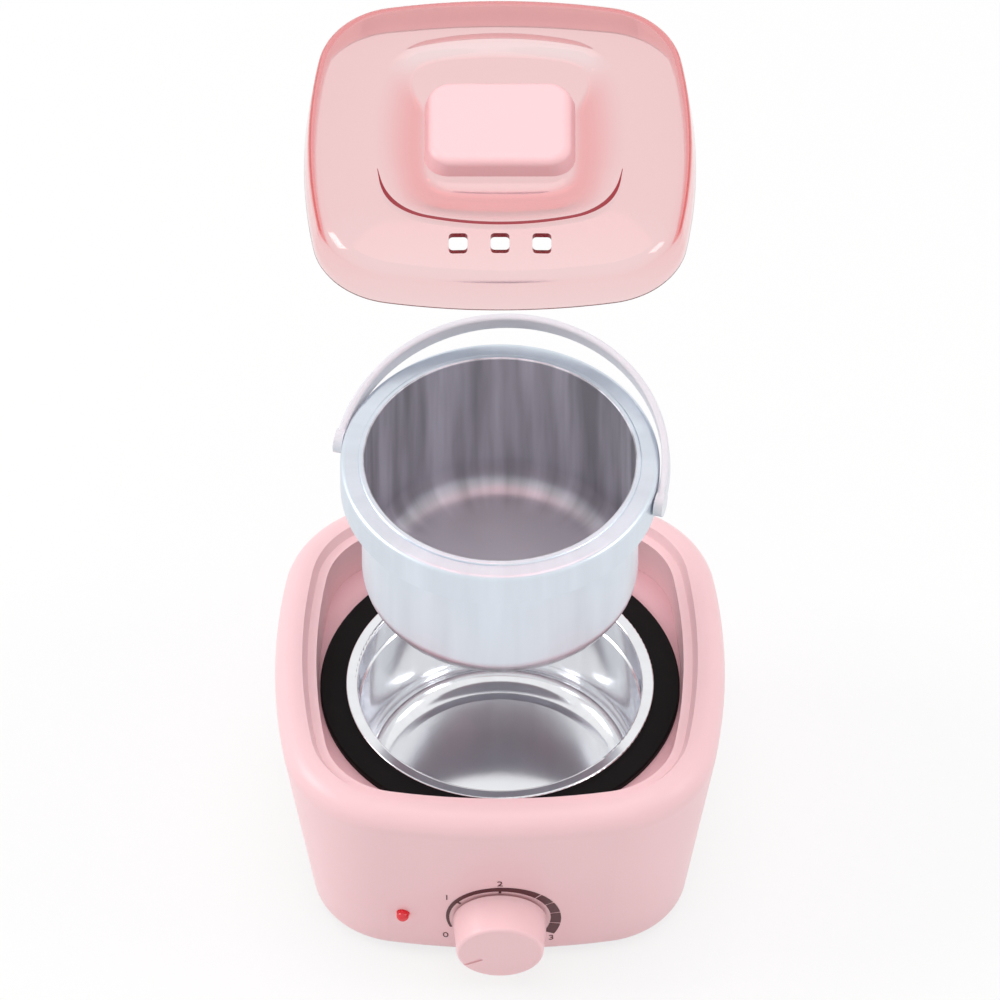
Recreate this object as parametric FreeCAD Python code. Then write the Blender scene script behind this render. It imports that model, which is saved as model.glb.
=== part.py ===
"""Salon wax warmer: a heated base, a lift-out pot with a bail, and a translucent lid.

All sizes are in millimetres. +Z is up, the viewer stands on the -Y side, and the origin lies on the
table under the chamber's axis. Pieces are first made where they sit in the closed warmer. The pot,
its bail and the lid are then raised to the places where they are held when the warmer is opened.
"""
import FreeCAD
import Part

import math
import os

# Pot
POT_RADIUS = 52.5
POT_WALL = 1.2
POT_HEIGHT = 69.0
POT_CORNER = 12.0
COLLAR_WIDTH = 8.0
COLLAR_HEIGHT = 14.0
COLLAR_EDGE = 2.0
MOUTH_BEAD = 0.8
MOUTH_BEAD_ROUND = 0.7

# Bail
BAIL_THICKNESS = 3.0
BAIL_WIDTH = 8.0
BAIL_EDGE = 1.2
BAIL_LEG = 2.0
BAIL_EYE_RADIUS = 4.6
BAIL_EYE_PROUD = 0.4
BAIL_PEG_RADIUS = 1.95
BAIL_PEG_LENGTH = 3.0
BAIL_SIDE_GAP = 0.5
BAIL_TURN = -15.0
BAIL_REST_ANGLE = 16.0

# Heating chamber and the ring under its lip
CHAMBER_WALL = 1.25
CHAMBER_FLOOR = 1.5
CHAMBER_STEP = 0.65
CHAMBER_STEP_DEPTH = 13.0
LIP_THICKNESS = 1.2
LIP_GAP = 0.3
POT_GAP = 1.1
POT_FLOOR_GAP = 2.0
RING_THICKNESS = 2.5
RING_MARGIN = 8.3
RING_BEVEL = 0.6
RING_BORE_GAP = 1.0
STUD_RADIUS = 2.0
STUD_LENGTH = 7.6

# Housing, whose outlines are all parallel curves of one bulged square
PLAN_HALF = 86.0
PLAN_SIDE_RADIUS = 260.0
PLAN_CORNER_RADIUS = 46.0
WALL = 2.6
HOUSING_DRAFT = 13.5
SHOULDER_RADIUS = 9.0
SKIRT_RADIUS = 5.0
RIM_WIDTH = 13.9
REBATE_DEPTH = 3.0
REBATE_SLOPE = 2.0
LEDGE_WIDTH = 3.4
RECESS_DEPTH = 16.5
RECESS_DRAFT = 0.8
RING_EDGE_GAP = 0.6
BOTTOM_FLANGE = 9.0
UNDERFLOOR = 10.0
POST_RADIUS = 4.2
POST_SPACE = 6.0
BAR_POST_SPACE = 4.0
CAVITY_RISE = 1.0

# Lid
LID_SKIRT = 19.0
LID_DRAFT = 1.5
LID_WALL = 2.2
LID_EDGE_RADIUS = 8.0
LID_CROWN = 3.3
LID_GAP = 0.6
DISH_HALF = 47.5
DISH_SLOPE = 4.5
DISH_DEPTH = 4.0
DISH_CORNER = 24.0
DISH_SIDE_RADIUS = 110.0
DISH_LAP = 0.3
VENT_WIDTH = 7.0
VENT_CORNER = 1.5
VENT_PITCH = 15.5
VENT_SETBACK = 10.0
GRIP_WIDTH = 54.0
GRIP_DEPTH = 42.0
GRIP_CORNER = 9.0
GRIP_PROUD = 3.0
GRIP_DRAFT = 2.0
GRIP_EDGE = 4.0
GRIP_WALL = 2.5
GRIP_SCREW_SPAN = 24.0

# Control knob and thermostat, along the normal of the front wall
KNOB_HEIGHT = 27.0
KNOB_RADIUS = 18.0
KNOB_TAPER = 1.5
KNOB_LENGTH = 15.0
KNOB_GAP = 1.0
KNOB_EDGE = 1.5
KNOB_WALL = 2.6
KNOB_BOSS_RADIUS = 5.5
KNOB_MARK_INNER = 8.0
KNOB_MARK_WIDTH = 1.6
KNOB_MARK_DEPTH = 0.6
KNOB_MARK_ANGLE = 210.0
SHAFT_RADIUS = 3.0
SHAFT_FLAT = 1.2
SHAFT_END_GAP = 0.2
BOSS_GAP = 0.4
BUSH_RADIUS = 5.0
BUSH_LENGTH = 5.0
BUSH_NUT_FLATS = 14.0
BUSH_NUT_HEIGHT = 2.5
SEAT_PAD_RADIUS = 9.0
SEAT_PAD_HEIGHT = 0.8
THERMOSTAT_RADIUS = 12.5
THERMOSTAT_DEPTH = 10.0
THERMOSTAT_EDGE = 1.0
TAB_WIDTH = 4.8
TAB_THICKNESS = 0.8
TAB_LENGTH = 8.0

# Indicator lamp
LAMP_OFFSET = -37.0
LENS_RADIUS = 2.4
LENS_PROUD = 3.4
LENS_ROUND = 2.2
LENS_FLANGE = 1.0
LENS_SEAT_GAP = 0.15
HOLDER_WALL = 1.6
HOLDER_LENGTH = 7.0

# Heater, strap and hold-down
HEATER_THICKNESS = 2.0
HEATER_TOP_GAP = 4.0
HEATER_RAISE = 14.0
HEATER_SLOT = 3.0
STRAP_THICKNESS = 0.8
STRAP_WIDTH = 8.0
STRAP_AZIMUTH = 115.0
EAR_OFFSET = 4.0
EAR_THICKNESS = 1.2
EAR_REACH = 8.0
BAR_AZIMUTH = 25.0
BAR_WIDTH = 12.0
BAR_THICKNESS = 1.5
BAR_DROP = 2.5

# Small hardware
BOLT_RADIUS = 1.95
BOLT_HEAD_RADIUS = 3.5
BOLT_HEAD_HEIGHT = 2.4
NUT_FLATS = 7.0
NUT_HEIGHT = 2.6
SCREW_RADIUS = 1.45
SCREW_HEAD_RADIUS = 2.8
SCREW_HEAD_HEIGHT = 1.6
SCREW_GRIP = 9.0
SCREW_HOLE_SPARE = 2.0
SCREW_END_GAP = 0.5
THREAD_PROUD = 1.0
FUSE_RADIUS = 2.0
FUSE_LENGTH = 14.0
FUSE_EDGE = 0.5
BULB_LENGTH = 30.0
CAPILLARY_RADIUS = 0.75
CAPILLARY_STRAIGHT = 10.0
CAPILLARY_SLANT = 8.0
CAPILLARY_LEAD = 3.5
CLIP_THICKNESS = 0.6
CLIP_LENGTH = 6.0
CLIP_FOOT = 4.0
CLIP_OFFSET = 20.0
TERMINAL_SIZE = (24.0, 14.0, 8.0)
TERMINAL_ACROSS = 28.0
TERMINAL_SETBACK = 25.0
TERMINAL_SCREW_GRIP = 7.0
WIRE_WAY_RADIUS = 1.6

# Bottom
COVER_THICKNESS = 2.5
COVER_GAP = 0.3
FOOT_HEIGHT = 3.0
FOOT_RADIUS = 8.0
FOOT_WEB = 1.4
FOOT_EDGE = 0.6
FOOT_RECESS_GAP = 0.6
FOOT_CLEARANCE = 0.2

# Cable gland in the rear wall
GLAND_HEIGHT = 20.0
GLAND_BORE = 3.6
GLAND_NECK_RADIUS = 6.0
GLAND_FLATS = 17.0
GLAND_COLLAR = 5.0
GLAND_DOME_RADIUS = 7.6
GLAND_DOME = 12.0
GLAND_DOME_ROUND = 3.0
GLAND_PAD_RADIUS = 11.0
GLAND_NUT_HEIGHT = 3.0

# Fits
SEAT = 0.05
RUNNING = 0.05
HOLE_GAP = 0.15

# How far the opened pieces are raised
POT_LIFT = 114.0
LID_LIFT_OVER_POT = 163.0

# Drawing tolerances, and the share of a run that a bend may take
TINY = 1e-6
LEVEL_TOLERANCE = 1e-4
BEND_SHARE = 0.45

# Levels of the closed warmer, from the table up
HOUSING_FOOT = FOOT_HEIGHT
COVER_TOP = HOUSING_FOOT + COVER_THICKNESS
CHAMBER_UNDERSIDE = COVER_TOP + UNDERFLOOR
CHAMBER_INSIDE = CHAMBER_UNDERSIDE + CHAMBER_FLOOR
POT_UNDERSIDE = CHAMBER_INSIDE + POT_FLOOR_GAP
POT_RIM = POT_UNDERSIDE + POT_HEIGHT
COLLAR_FOOT = POT_RIM - COLLAR_HEIGHT
BAIL_PIVOT = COLLAR_FOOT + COLLAR_HEIGHT / 2
RING_TOP = COLLAR_FOOT - SEAT
DECK_TOP = RING_TOP - RING_THICKNESS
DECK_UNDERSIDE = DECK_TOP - WALL
LIP_TOP = RING_TOP + LIP_THICKNESS
CHAMBER_STEP_LEVEL = LIP_TOP - CHAMBER_STEP_DEPTH
CHAMBER_SHELF = CHAMBER_STEP_LEVEL - CHAMBER_STEP
HEATER_FOOT = CHAMBER_UNDERSIDE + HEATER_RAISE
HEATER_TOP = CHAMBER_SHELF - HEATER_TOP_GAP
LEDGE = DECK_TOP + RECESS_DEPTH
CREST = LEDGE + REBATE_DEPTH
LID_RIM = LEDGE + SEAT
LID_TOP = LID_RIM + LID_SKIRT

# Radii and half-widths, from the pot outwards
COLLAR_RADIUS = POT_RADIUS + COLLAR_WIDTH
CHAMBER_LOWER_RADIUS = POT_RADIUS + POT_GAP
CHAMBER_UPPER_RADIUS = CHAMBER_LOWER_RADIUS + CHAMBER_STEP
LIP_RADIUS = COLLAR_RADIUS - POT_WALL - LIP_GAP
RING_BORE = CHAMBER_UPPER_RADIUS + CHAMBER_WALL + RING_BORE_GAP
RING_RADIUS = COLLAR_RADIUS + RING_MARGIN
DECK_BORE = RING_BORE + 3 * RING_BORE_GAP
RECESS_HALF = RING_RADIUS + RING_EDGE_GAP
LEDGE_HALF = RECESS_HALF + RECESS_DRAFT
REBATE_HALF = LEDGE_HALF + LEDGE_WIDTH
TOP_HALF = REBATE_HALF + RIM_WIDTH
BASE_HALF = TOP_HALF - HOUSING_DRAFT
BOTTOM_HALF = BASE_HALF - BOTTOM_FLANGE
TERMINAL_SPOT = (TERMINAL_ACROSS, BOTTOM_HALF - TERMINAL_SETBACK)
LID_HALF = REBATE_HALF - LID_GAP
HEATER_BORE = CHAMBER_LOWER_RADIUS + CHAMBER_WALL + SEAT
HEATER_RADIUS = HEATER_BORE + HEATER_THICKNESS
STRAP_BORE = HEATER_RADIUS + SEAT
STRAP_RADIUS = STRAP_BORE + STRAP_THICKNESS
POST_REACH = STRAP_RADIUS + POST_SPACE + POST_RADIUS
BAR_REACH = STRAP_RADIUS + BAR_POST_SPACE + POST_RADIUS
WALL_SLOPE = HOUSING_DRAFT / (CREST - HOUSING_FOOT)
BAIL_INNER = COLLAR_RADIUS + BAIL_SIDE_GAP
BAIL_OUTER = BAIL_INNER + BAIL_THICKNESS
KNOB_FRONT = KNOB_GAP + KNOB_LENGTH
DISH_EDGE = LID_TOP + LID_CROWN
GRIP_FLOOR = DISH_EDGE - DISH_DEPTH
GRIP_TOP = DISH_EDGE + GRIP_PROUD
THERMOSTAT_FRONT = -WALL - SEAT_PAD_HEIGHT - SEAT

ORIGIN = FreeCAD.Vector(0, 0, 0)
UP = FreeCAD.Vector(0, 0, 1)


def vec(x, y, z):
    """Short name for a vector."""
    return FreeCAD.Vector(x, y, z)


def arc(centre, radius, start, end, z):
    """Arc edge in a level plane, from one angle to another in radians."""
    def point(angle):
        return vec(centre[0] + radius * math.cos(angle), centre[1] + radius * math.sin(angle), z)
    return Part.Arc(point(start), point((start + end) / 2), point(end)).toShape()


def outline(half, z, side_radius=None, corner_radius=None):
    """Bulged square of eight tangent arcs. Left alone, the radii make it parallel to the housing's plan."""
    side = side_radius or PLAN_SIDE_RADIUS + half - PLAN_HALF
    corner = corner_radius or PLAN_CORNER_RADIUS + half - PLAN_HALF
    side_centre = half - side
    reach = side - corner
    corner_centre = (side_centre + math.sqrt(2 * reach ** 2 - side_centre ** 2)) / 2
    spread = math.atan2(corner_centre, corner_centre - side_centre)
    wire = []
    for quarter in range(4):
        turn = quarter * math.pi / 2
        cos, sin = round(math.cos(turn)), round(math.sin(turn))
        side_at = (cos * side_centre, sin * side_centre)
        corner_at = (corner_centre * (cos - sin), corner_centre * (sin + cos))
        wire.append(arc(side_at, side, turn - spread, turn + spread, z))
        wire.append(arc(corner_at, corner, turn + spread, turn + math.pi / 2 - spread, z))
    return Part.Wire(wire)


def rounded_box_wire(width, depth, corner, z):
    """Level rectangle with round corners, centred on the axis."""
    x, y = width / 2, depth / 2
    edges = []
    corners = ((x, y, 0), (-x, y, 90), (-x, -y, 180), (x, -y, 270))
    for cx, cy, start in corners:
        centre = (cx - math.copysign(corner, cx), cy - math.copysign(corner, cy))
        edges.append(arc(centre, corner, math.radians(start), math.radians(start + 90), z))
    lines = []
    for index, edge in enumerate(edges):
        following = edges[(index + 1) % len(edges)]
        lines.append(Part.makeLine(edge.Vertexes[-1].Point, following.Vertexes[0].Point))
    ordered = [piece for pair in zip(edges, lines) for piece in pair]
    return Part.Wire(ordered)


def loft(*wires):
    """Solid with straight sides between level outlines."""
    return Part.makeLoft(list(wires), True, True)


def profile(points):
    """Closed wire in the XZ plane. A third number at a point rounds that corner with an arc."""
    spots = [vec(p[0], 0, p[1]) for p in points]
    radii = [p[2] if len(p) > 2 else 0 for p in points]
    starts, ends, middles = [], [], []
    for index, spot in enumerate(spots):
        before = (spots[index - 1] - spot).normalize()
        after = (spots[(index + 1) % len(spots)] - spot).normalize()
        half_angle = before.getAngle(after) / 2
        back = radii[index] / math.tan(half_angle) if radii[index] else 0
        starts.append(spot + before * back)
        ends.append(spot + after * back)
        bisector = before + after
        inward = bisector.normalize() if bisector.Length > TINY else ORIGIN
        middles.append(spot + inward * (radii[index] / math.sin(half_angle) - radii[index]))
    edges = []
    for index, radius in enumerate(radii):
        if radius:
            edges.append(Part.Arc(starts[index], middles[index], ends[index]).toShape())
        following = starts[(index + 1) % len(spots)]
        if (following - ends[index]).Length > TINY:
            edges.append(Part.makeLine(ends[index], following))
    return Part.Wire(edges)


def revolved(points, degrees=360.0):
    """Solid of revolution about the upright axis."""
    return Part.Face(profile(points)).revolve(ORIGIN, UP, degrees)


def cylinder(radius, low, high, x=0.0, y=0.0):
    """Upright cylinder between two levels."""
    return Part.makeCylinder(radius, high - low, vec(x, y, low))


def hexagon(flats, low, high, bore):
    """Upright hexagonal nut with a plain bore."""
    corner = flats / 2 / math.cos(math.pi / 6)
    turns = [k * math.pi / 3 for k in range(7)]
    points = [vec(corner * math.cos(turn), corner * math.sin(turn), low) for turn in turns]
    body = Part.Face(Part.makePolygon(points)).extrude(UP * (high - low))
    return body.cut(cylinder(bore, low, high))


def screw(low, length, head_radius=SCREW_HEAD_RADIUS, radius=SCREW_RADIUS, x=0.0, y=0.0):
    """Upright pan-head screw with its head's underside at a level and its shank above."""
    head = cylinder(head_radius, low - SCREW_HEAD_HEIGHT, low, x, y)
    return head.fuse(cylinder(radius, low, low + length, x, y)).removeSplitter()


def level_edges(shape, z):
    """Edges that lie in one level plane."""
    def lies_level(edge):
        box = edge.BoundBox
        return abs(box.ZMin - z) < LEVEL_TOLERANCE and abs(box.ZMax - z) < LEVEL_TOLERANCE
    return [edge for edge in shape.Edges if lies_level(edge)]


def outer_half(z):
    """Half-width of the housing's drafted wall at a level."""
    return BASE_HALF + (z - HOUSING_FOOT) * WALL_SLOPE


def wall_frame(across, z, rear=False):
    """Placement on the housing's wall: local Z leaves the wall squarely, local Y runs up it."""
    side = PLAN_SIDE_RADIUS + outer_half(z) - PLAN_HALF
    centre = PLAN_SIDE_RADIUS - PLAN_HALF
    swing = math.asin(across / side)
    place = FreeCAD.Placement(vec(across, centre - side * math.cos(swing), z), FreeCAD.Rotation())
    tilt = FreeCAD.Rotation(vec(1, 0, 0), 90 + math.degrees(math.atan(WALL_SLOPE)))
    turn = FreeCAD.Rotation(UP, math.degrees(swing))
    place.Rotation = turn.multiply(tilt)
    if rear:
        place = FreeCAD.Placement(ORIGIN, FreeCAD.Rotation(UP, 180)).multiply(place)
    return place


def put(shape, place):
    """Copy of a shape carried into a placement."""
    moved = shape.copy()
    moved.Placement = place.multiply(moved.Placement)
    return moved


def turned(shape, degrees, axis=UP, about=ORIGIN):
    """Copy of a shape turned about an axis."""
    moved = shape.copy()
    moved.rotate(about, axis, degrees)
    return moved


def raised(shape, height):
    """Copy of a shape lifted straight up."""
    return shape.translated(UP * height)


def tube(points, radius):
    """Round rod along straight runs joined by tangent arcs."""
    spots = [vec(*p) for p in points]
    edges = []
    last = spots[0]
    for before, spot, after in zip(spots, spots[1:], spots[2:]):
        back, ahead = (before - spot), (after - spot)
        half_angle = back.getAngle(ahead) / 2
        reach = BEND_SHARE * min(back.Length, ahead.Length)
        bend = reach * math.tan(half_angle)
        start = spot + back.normalize() * reach
        end = spot + ahead.normalize() * reach
        middle = spot + (back + ahead).normalize() * (bend / math.sin(half_angle) - bend)
        edges.append(Part.makeLine(last, start))
        edges.append(Part.Arc(start, middle, end).toShape())
        last = end
    edges.append(Part.makeLine(last, spots[-1]))
    section = Part.Wire(Part.makeCircle(radius, spots[0], spots[1] - spots[0]))
    return Part.Wire(edges).makePipeShell([section], True, False)


def post_spots():
    """Centres of the four posts that carry the cover and the feet."""
    step = POST_REACH / math.sqrt(2)
    return [(x * step, y * step) for x in (-1, 1) for y in (-1, 1)]


def bar_spots():
    """Centres of the two posts that carry the hold-down bar."""
    angle = math.radians(BAR_AZIMUTH)
    return [(s * BAR_REACH * math.cos(angle), s * BAR_REACH * math.sin(angle)) for s in (-1, 1)]


def housing():
    """Moulded shell: drafted bulged square, round shoulder, lid ledge and a recess wall down to the deck."""
    solid = loft(outline(BASE_HALF, HOUSING_FOOT), outline(TOP_HALF, CREST))
    solid = solid.makeFillet(SHOULDER_RADIUS, level_edges(solid, CREST))
    solid = solid.makeFillet(SKIRT_RADIUS, level_edges(solid, HOUSING_FOOT))
    over = CREST + REBATE_DEPTH
    rebate = loft(outline(REBATE_HALF, LEDGE), outline(REBATE_HALF + 2 * REBATE_SLOPE, over))
    recess = loft(outline(RECESS_HALF, DECK_TOP), outline(LEDGE_HALF, LEDGE))
    solid = solid.cut(rebate).cut(recess)

    cavity_low = HOUSING_FOOT + WALL
    cavity_high = CREST - SHOULDER_RADIUS + CAVITY_RISE
    cavity = loft(outline(outer_half(cavity_low) - WALL, cavity_low),
                  outline(outer_half(cavity_high) - WALL, cavity_high))
    recess_wall = loft(outline(RECESS_HALF + WALL, DECK_TOP + SEAT), outline(LEDGE_HALF + WALL, cavity_high))
    solid = solid.cut(cavity.cut(recess_wall))
    solid = solid.cut(loft(outline(BOTTOM_HALF, 0), outline(BOTTOM_HALF, cavity_low)))

    dial = wall_frame(0, KNOB_HEIGHT)
    solid = solid.fuse(put(cylinder(SEAT_PAD_RADIUS, -WALL - SEAT_PAD_HEIGHT, -WALL / 2), dial))
    solid = solid.cut(put(cylinder(BUSH_RADIUS + HOLE_GAP, -2 * WALL, WALL), dial))
    lamp = wall_frame(LAMP_OFFSET, KNOB_HEIGHT)
    solid = solid.cut(put(cylinder(LENS_RADIUS + HOLE_GAP, -2 * WALL, WALL), lamp))
    inlet = wall_frame(0, GLAND_HEIGHT, rear=True)
    solid = solid.fuse(put(cylinder(GLAND_PAD_RADIUS, -WALL - SEAT_PAD_HEIGHT, -WALL / 2), inlet))
    solid = solid.cut(put(cylinder(GLAND_NECK_RADIUS + HOLE_GAP, -2 * WALL, WALL), inlet))
    return solid.removeSplitter()


def inner_deck():
    """Moulded deck that the housing stands on, with the posts that carry the cover and the hold-down bar."""
    deck = loft(outline(RECESS_HALF + WALL, DECK_UNDERSIDE), outline(RECESS_HALF + WALL, DECK_TOP))
    deck = deck.cut(cylinder(DECK_BORE, DECK_UNDERSIDE, DECK_TOP))
    bar_seat = CHAMBER_UNDERSIDE - BAR_DROP
    for foot, spots in ((COVER_TOP, post_spots()), (bar_seat, bar_spots())):
        for x, y in spots:
            deck = deck.fuse(cylinder(POST_RADIUS, foot, DECK_UNDERSIDE, x, y))
            depth = SCREW_GRIP + SCREW_HOLE_SPARE
            deck = deck.cut(cylinder(SCREW_RADIUS + RUNNING, foot, foot + depth, x, y))
    return deck.removeSplitter()


def insulating_ring():
    """Flat heat-proof ring on the deck, under the chamber's lip and the pot's collar."""
    return revolved([(RING_BORE, DECK_TOP), (RING_RADIUS, DECK_TOP), (RING_RADIUS, RING_TOP - RING_BEVEL),
                     (RING_RADIUS - RING_BEVEL, RING_TOP), (RING_BORE, RING_TOP)])


def heating_chamber():
    """Drawn aluminium well that hangs by its lip, with a welded stud under its floor."""
    upper, lower = CHAMBER_UPPER_RADIUS, CHAMBER_LOWER_RADIUS
    wall = CHAMBER_WALL
    step, shelf = CHAMBER_STEP_LEVEL, CHAMBER_SHELF
    inner, outer = POT_CORNER - POT_GAP, POT_CORNER - POT_GAP + wall
    well = revolved([
        (0, CHAMBER_UNDERSIDE), (lower + wall, CHAMBER_UNDERSIDE, outer), (lower + wall, shelf),
        (upper + wall, step), (upper + wall, RING_TOP), (LIP_RADIUS, RING_TOP),
        (LIP_RADIUS, LIP_TOP, LIP_THICKNESS / 2),
        (upper, LIP_TOP, wall), (upper, step), (lower, shelf),
        (lower, CHAMBER_INSIDE, inner), (0, CHAMBER_INSIDE)])
    stud = cylinder(STUD_RADIUS, CHAMBER_UNDERSIDE - STUD_LENGTH, CHAMBER_UNDERSIDE)
    return well.fuse(stud).removeSplitter()


def band_heater():
    """Mica band heater round the chamber, open at a narrow slot."""
    slot = math.degrees(math.asin(HEATER_SLOT / HEATER_BORE))
    ring = revolved([(HEATER_BORE, HEATER_FOOT), (HEATER_RADIUS, HEATER_FOOT), (HEATER_RADIUS, HEATER_TOP),
                     (HEATER_BORE, HEATER_TOP)], 360 - 2 * slot)
    return turned(ring, STRAP_AZIMUTH + slot)


def strap_levels():
    """Lower and upper edge of the strap at the middle of the heater."""
    middle = (HEATER_FOOT + HEATER_TOP) / 2
    return middle - STRAP_WIDTH / 2, middle + STRAP_WIDTH / 2


def ear_bolt_reach():
    """Distance from the axis to the bolt through the strap's ears."""
    return STRAP_RADIUS + EAR_REACH / 2


def heater_strap():
    """Steel strap that clamps the heater, with two ears for a bolt."""
    low, high = strap_levels()
    start = math.degrees(math.asin(EAR_OFFSET / STRAP_BORE))
    band = revolved([(STRAP_BORE, low), (STRAP_RADIUS, low), (STRAP_RADIUS, high), (STRAP_BORE, high)],
                    360 - 2 * start)
    band = turned(band, start)
    ear = Part.makeBox(EAR_REACH + STRAP_THICKNESS, EAR_THICKNESS, STRAP_WIDTH,
                       vec(STRAP_BORE, EAR_OFFSET, low))
    band = band.fuse(ear).fuse(ear.mirror(ORIGIN, vec(0, 1, 0)))
    width = 2 * (EAR_OFFSET + EAR_THICKNESS)
    hole_start = vec(ear_bolt_reach(), -width / 2, (low + high) / 2)
    hole = Part.makeCylinder(BOLT_RADIUS + HOLE_GAP, width, hole_start, vec(0, 1, 0))
    return turned(band.cut(hole).removeSplitter(), STRAP_AZIMUTH)


def across_ears(shape):
    """Carries a piece made along +Z at the origin to the strap's bolt."""
    low, high = strap_levels()
    middle = vec(ear_bolt_reach(), 0, (low + high) / 2)
    place = FreeCAD.Placement(middle, FreeCAD.Rotation(vec(1, 0, 0), -90))
    return turned(put(shape, place), STRAP_AZIMUTH)


def strap_bolt():
    """Bolt that draws the strap's ears together."""
    face = EAR_OFFSET + EAR_THICKNESS
    head = cylinder(BOLT_HEAD_RADIUS, -face - SEAT - BOLT_HEAD_HEIGHT, -face - SEAT)
    shank = cylinder(BOLT_RADIUS, -face - SEAT, face + NUT_HEIGHT + THREAD_PROUD)
    return across_ears(head.fuse(shank).removeSplitter())


def strap_nut():
    """Nut on the strap's bolt."""
    face = EAR_OFFSET + EAR_THICKNESS + SEAT
    return across_ears(hexagon(NUT_FLATS, face, face + NUT_HEIGHT, BOLT_RADIUS + RUNNING))


def hold_down_bar():
    """Steel bar across the underside that pulls the chamber's lip down on the ring."""
    top = CHAMBER_UNDERSIDE - BAR_DROP - SEAT
    length = 2 * (BAR_REACH + POST_RADIUS)
    corner = vec(-length / 2, -BAR_WIDTH / 2, top - BAR_THICKNESS)
    bar = Part.makeBox(length, BAR_WIDTH, BAR_THICKNESS, corner)
    upright = [e for e in bar.Edges if e.BoundBox.ZLength > BAR_THICKNESS / 2]
    bar = bar.makeFillet(POST_RADIUS, upright)
    bar = turned(bar, BAR_AZIMUTH)
    bar = bar.cut(cylinder(STUD_RADIUS + HOLE_GAP, top - BAR_THICKNESS, top))
    for x, y in bar_spots():
        bar = bar.cut(cylinder(SCREW_RADIUS + HOLE_GAP, top - BAR_THICKNESS, top, x, y))
    return bar


def hold_down_nut():
    """Nut on the chamber's stud, under the bar."""
    top = CHAMBER_UNDERSIDE - BAR_DROP - BAR_THICKNESS - 2 * SEAT
    return hexagon(NUT_FLATS, top - NUT_HEIGHT, top, STUD_RADIUS + RUNNING)


def bar_screws():
    """Two screws that fix the bar to its posts."""
    seat = CHAMBER_UNDERSIDE - BAR_DROP - BAR_THICKNESS - 2 * SEAT
    return Part.makeCompound([screw(seat, SCREW_GRIP, x=x, y=y) for x, y in bar_spots()])


def thermostat_body():
    """Round thermostat with a bush that passes the front wall."""
    front = THERMOSTAT_FRONT
    body = cylinder(THERMOSTAT_RADIUS, front - THERMOSTAT_DEPTH, front)
    body = body.makeFillet(THERMOSTAT_EDGE, level_edges(body, front - THERMOSTAT_DEPTH))
    body = body.fuse(cylinder(BUSH_RADIUS, front, BUSH_LENGTH))
    body = body.cut(cylinder(SHAFT_RADIUS + RUNNING, front - THERMOSTAT_DEPTH / 2, BUSH_LENGTH))
    return put(body.removeSplitter(), wall_frame(0, KNOB_HEIGHT))


def thermostat_tabs():
    """Two blade terminals on top of the thermostat."""
    middle = THERMOSTAT_FRONT - THERMOSTAT_DEPTH / 2
    tabs = []
    for side in (-1, 1):
        x = side * THERMOSTAT_RADIUS / 2
        foot = math.sqrt(THERMOSTAT_RADIUS ** 2 - (abs(x) - TAB_WIDTH / 2) ** 2) + SEAT
        blade = Part.makeBox(TAB_WIDTH, TAB_LENGTH, TAB_THICKNESS,
                             vec(x - TAB_WIDTH / 2, foot, middle - TAB_THICKNESS / 2))
        tabs.append(put(blade, wall_frame(0, KNOB_HEIGHT)))
    return Part.makeCompound(tabs)


def thermostat_nut():
    """Nut that clamps the thermostat's bush to the wall, hidden by the knob."""
    nut = hexagon(BUSH_NUT_FLATS, SEAT, SEAT + BUSH_NUT_HEIGHT, BUSH_RADIUS + RUNNING)
    return put(nut, wall_frame(0, KNOB_HEIGHT))


def shaft_form(radius, low, high):
    """Round bar with one flat."""
    bar = cylinder(radius, low, high)
    return bar.cut(Part.makeBox(2 * radius, 2 * radius, high - low, vec(-radius, radius - SHAFT_FLAT, low)))


def thermostat_shaft():
    """Shaft of the thermostat, flatted where the knob grips it."""
    low = THERMOSTAT_FRONT - THERMOSTAT_DEPTH / 2 + SEAT
    plain = cylinder(SHAFT_RADIUS, low, BUSH_LENGTH)
    flatted = shaft_form(SHAFT_RADIUS, BUSH_LENGTH, KNOB_FRONT - KNOB_WALL - SHAFT_END_GAP)
    return put(plain.fuse(flatted).removeSplitter(), wall_frame(0, KNOB_HEIGHT))


def control_knob():
    """Tapered hollow knob with a boss that grips the shaft and a pointer groove in its face."""
    back, front = KNOB_GAP, KNOB_FRONT
    crown = KNOB_RADIUS - KNOB_TAPER
    inside = front - KNOB_WALL
    knob = revolved([
        (0, inside), (crown - KNOB_WALL, inside), (KNOB_RADIUS - KNOB_WALL, back), (KNOB_RADIUS, back),
        (crown, front, KNOB_EDGE), (0, front)])
    boss_low = BUSH_LENGTH + BOSS_GAP
    knob = knob.fuse(cylinder(KNOB_BOSS_RADIUS, boss_low, inside))
    knob = knob.cut(shaft_form(SHAFT_RADIUS + RUNNING, boss_low, inside))
    mark = Part.makeBox(KNOB_RADIUS - KNOB_MARK_INNER, KNOB_MARK_WIDTH, KNOB_WALL,
                        vec(KNOB_MARK_INNER, -KNOB_MARK_WIDTH / 2, front - KNOB_MARK_DEPTH))
    knob = knob.cut(turned(mark, KNOB_MARK_ANGLE))
    return put(knob.removeSplitter(), wall_frame(0, KNOB_HEIGHT))


def indicator_lens():
    """Red dome lens pushed through the wall from inside."""
    flange_front = -WALL - LENS_SEAT_GAP
    flange_back = flange_front - LENS_FLANGE
    flange = LENS_RADIUS + LENS_FLANGE
    lens = revolved([
        (0, flange_back), (flange, flange_back), (flange, flange_front), (LENS_RADIUS, flange_front),
        (LENS_RADIUS, LENS_PROUD, LENS_ROUND), (0, LENS_PROUD)])
    return put(lens, wall_frame(LAMP_OFFSET, KNOB_HEIGHT))


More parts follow.
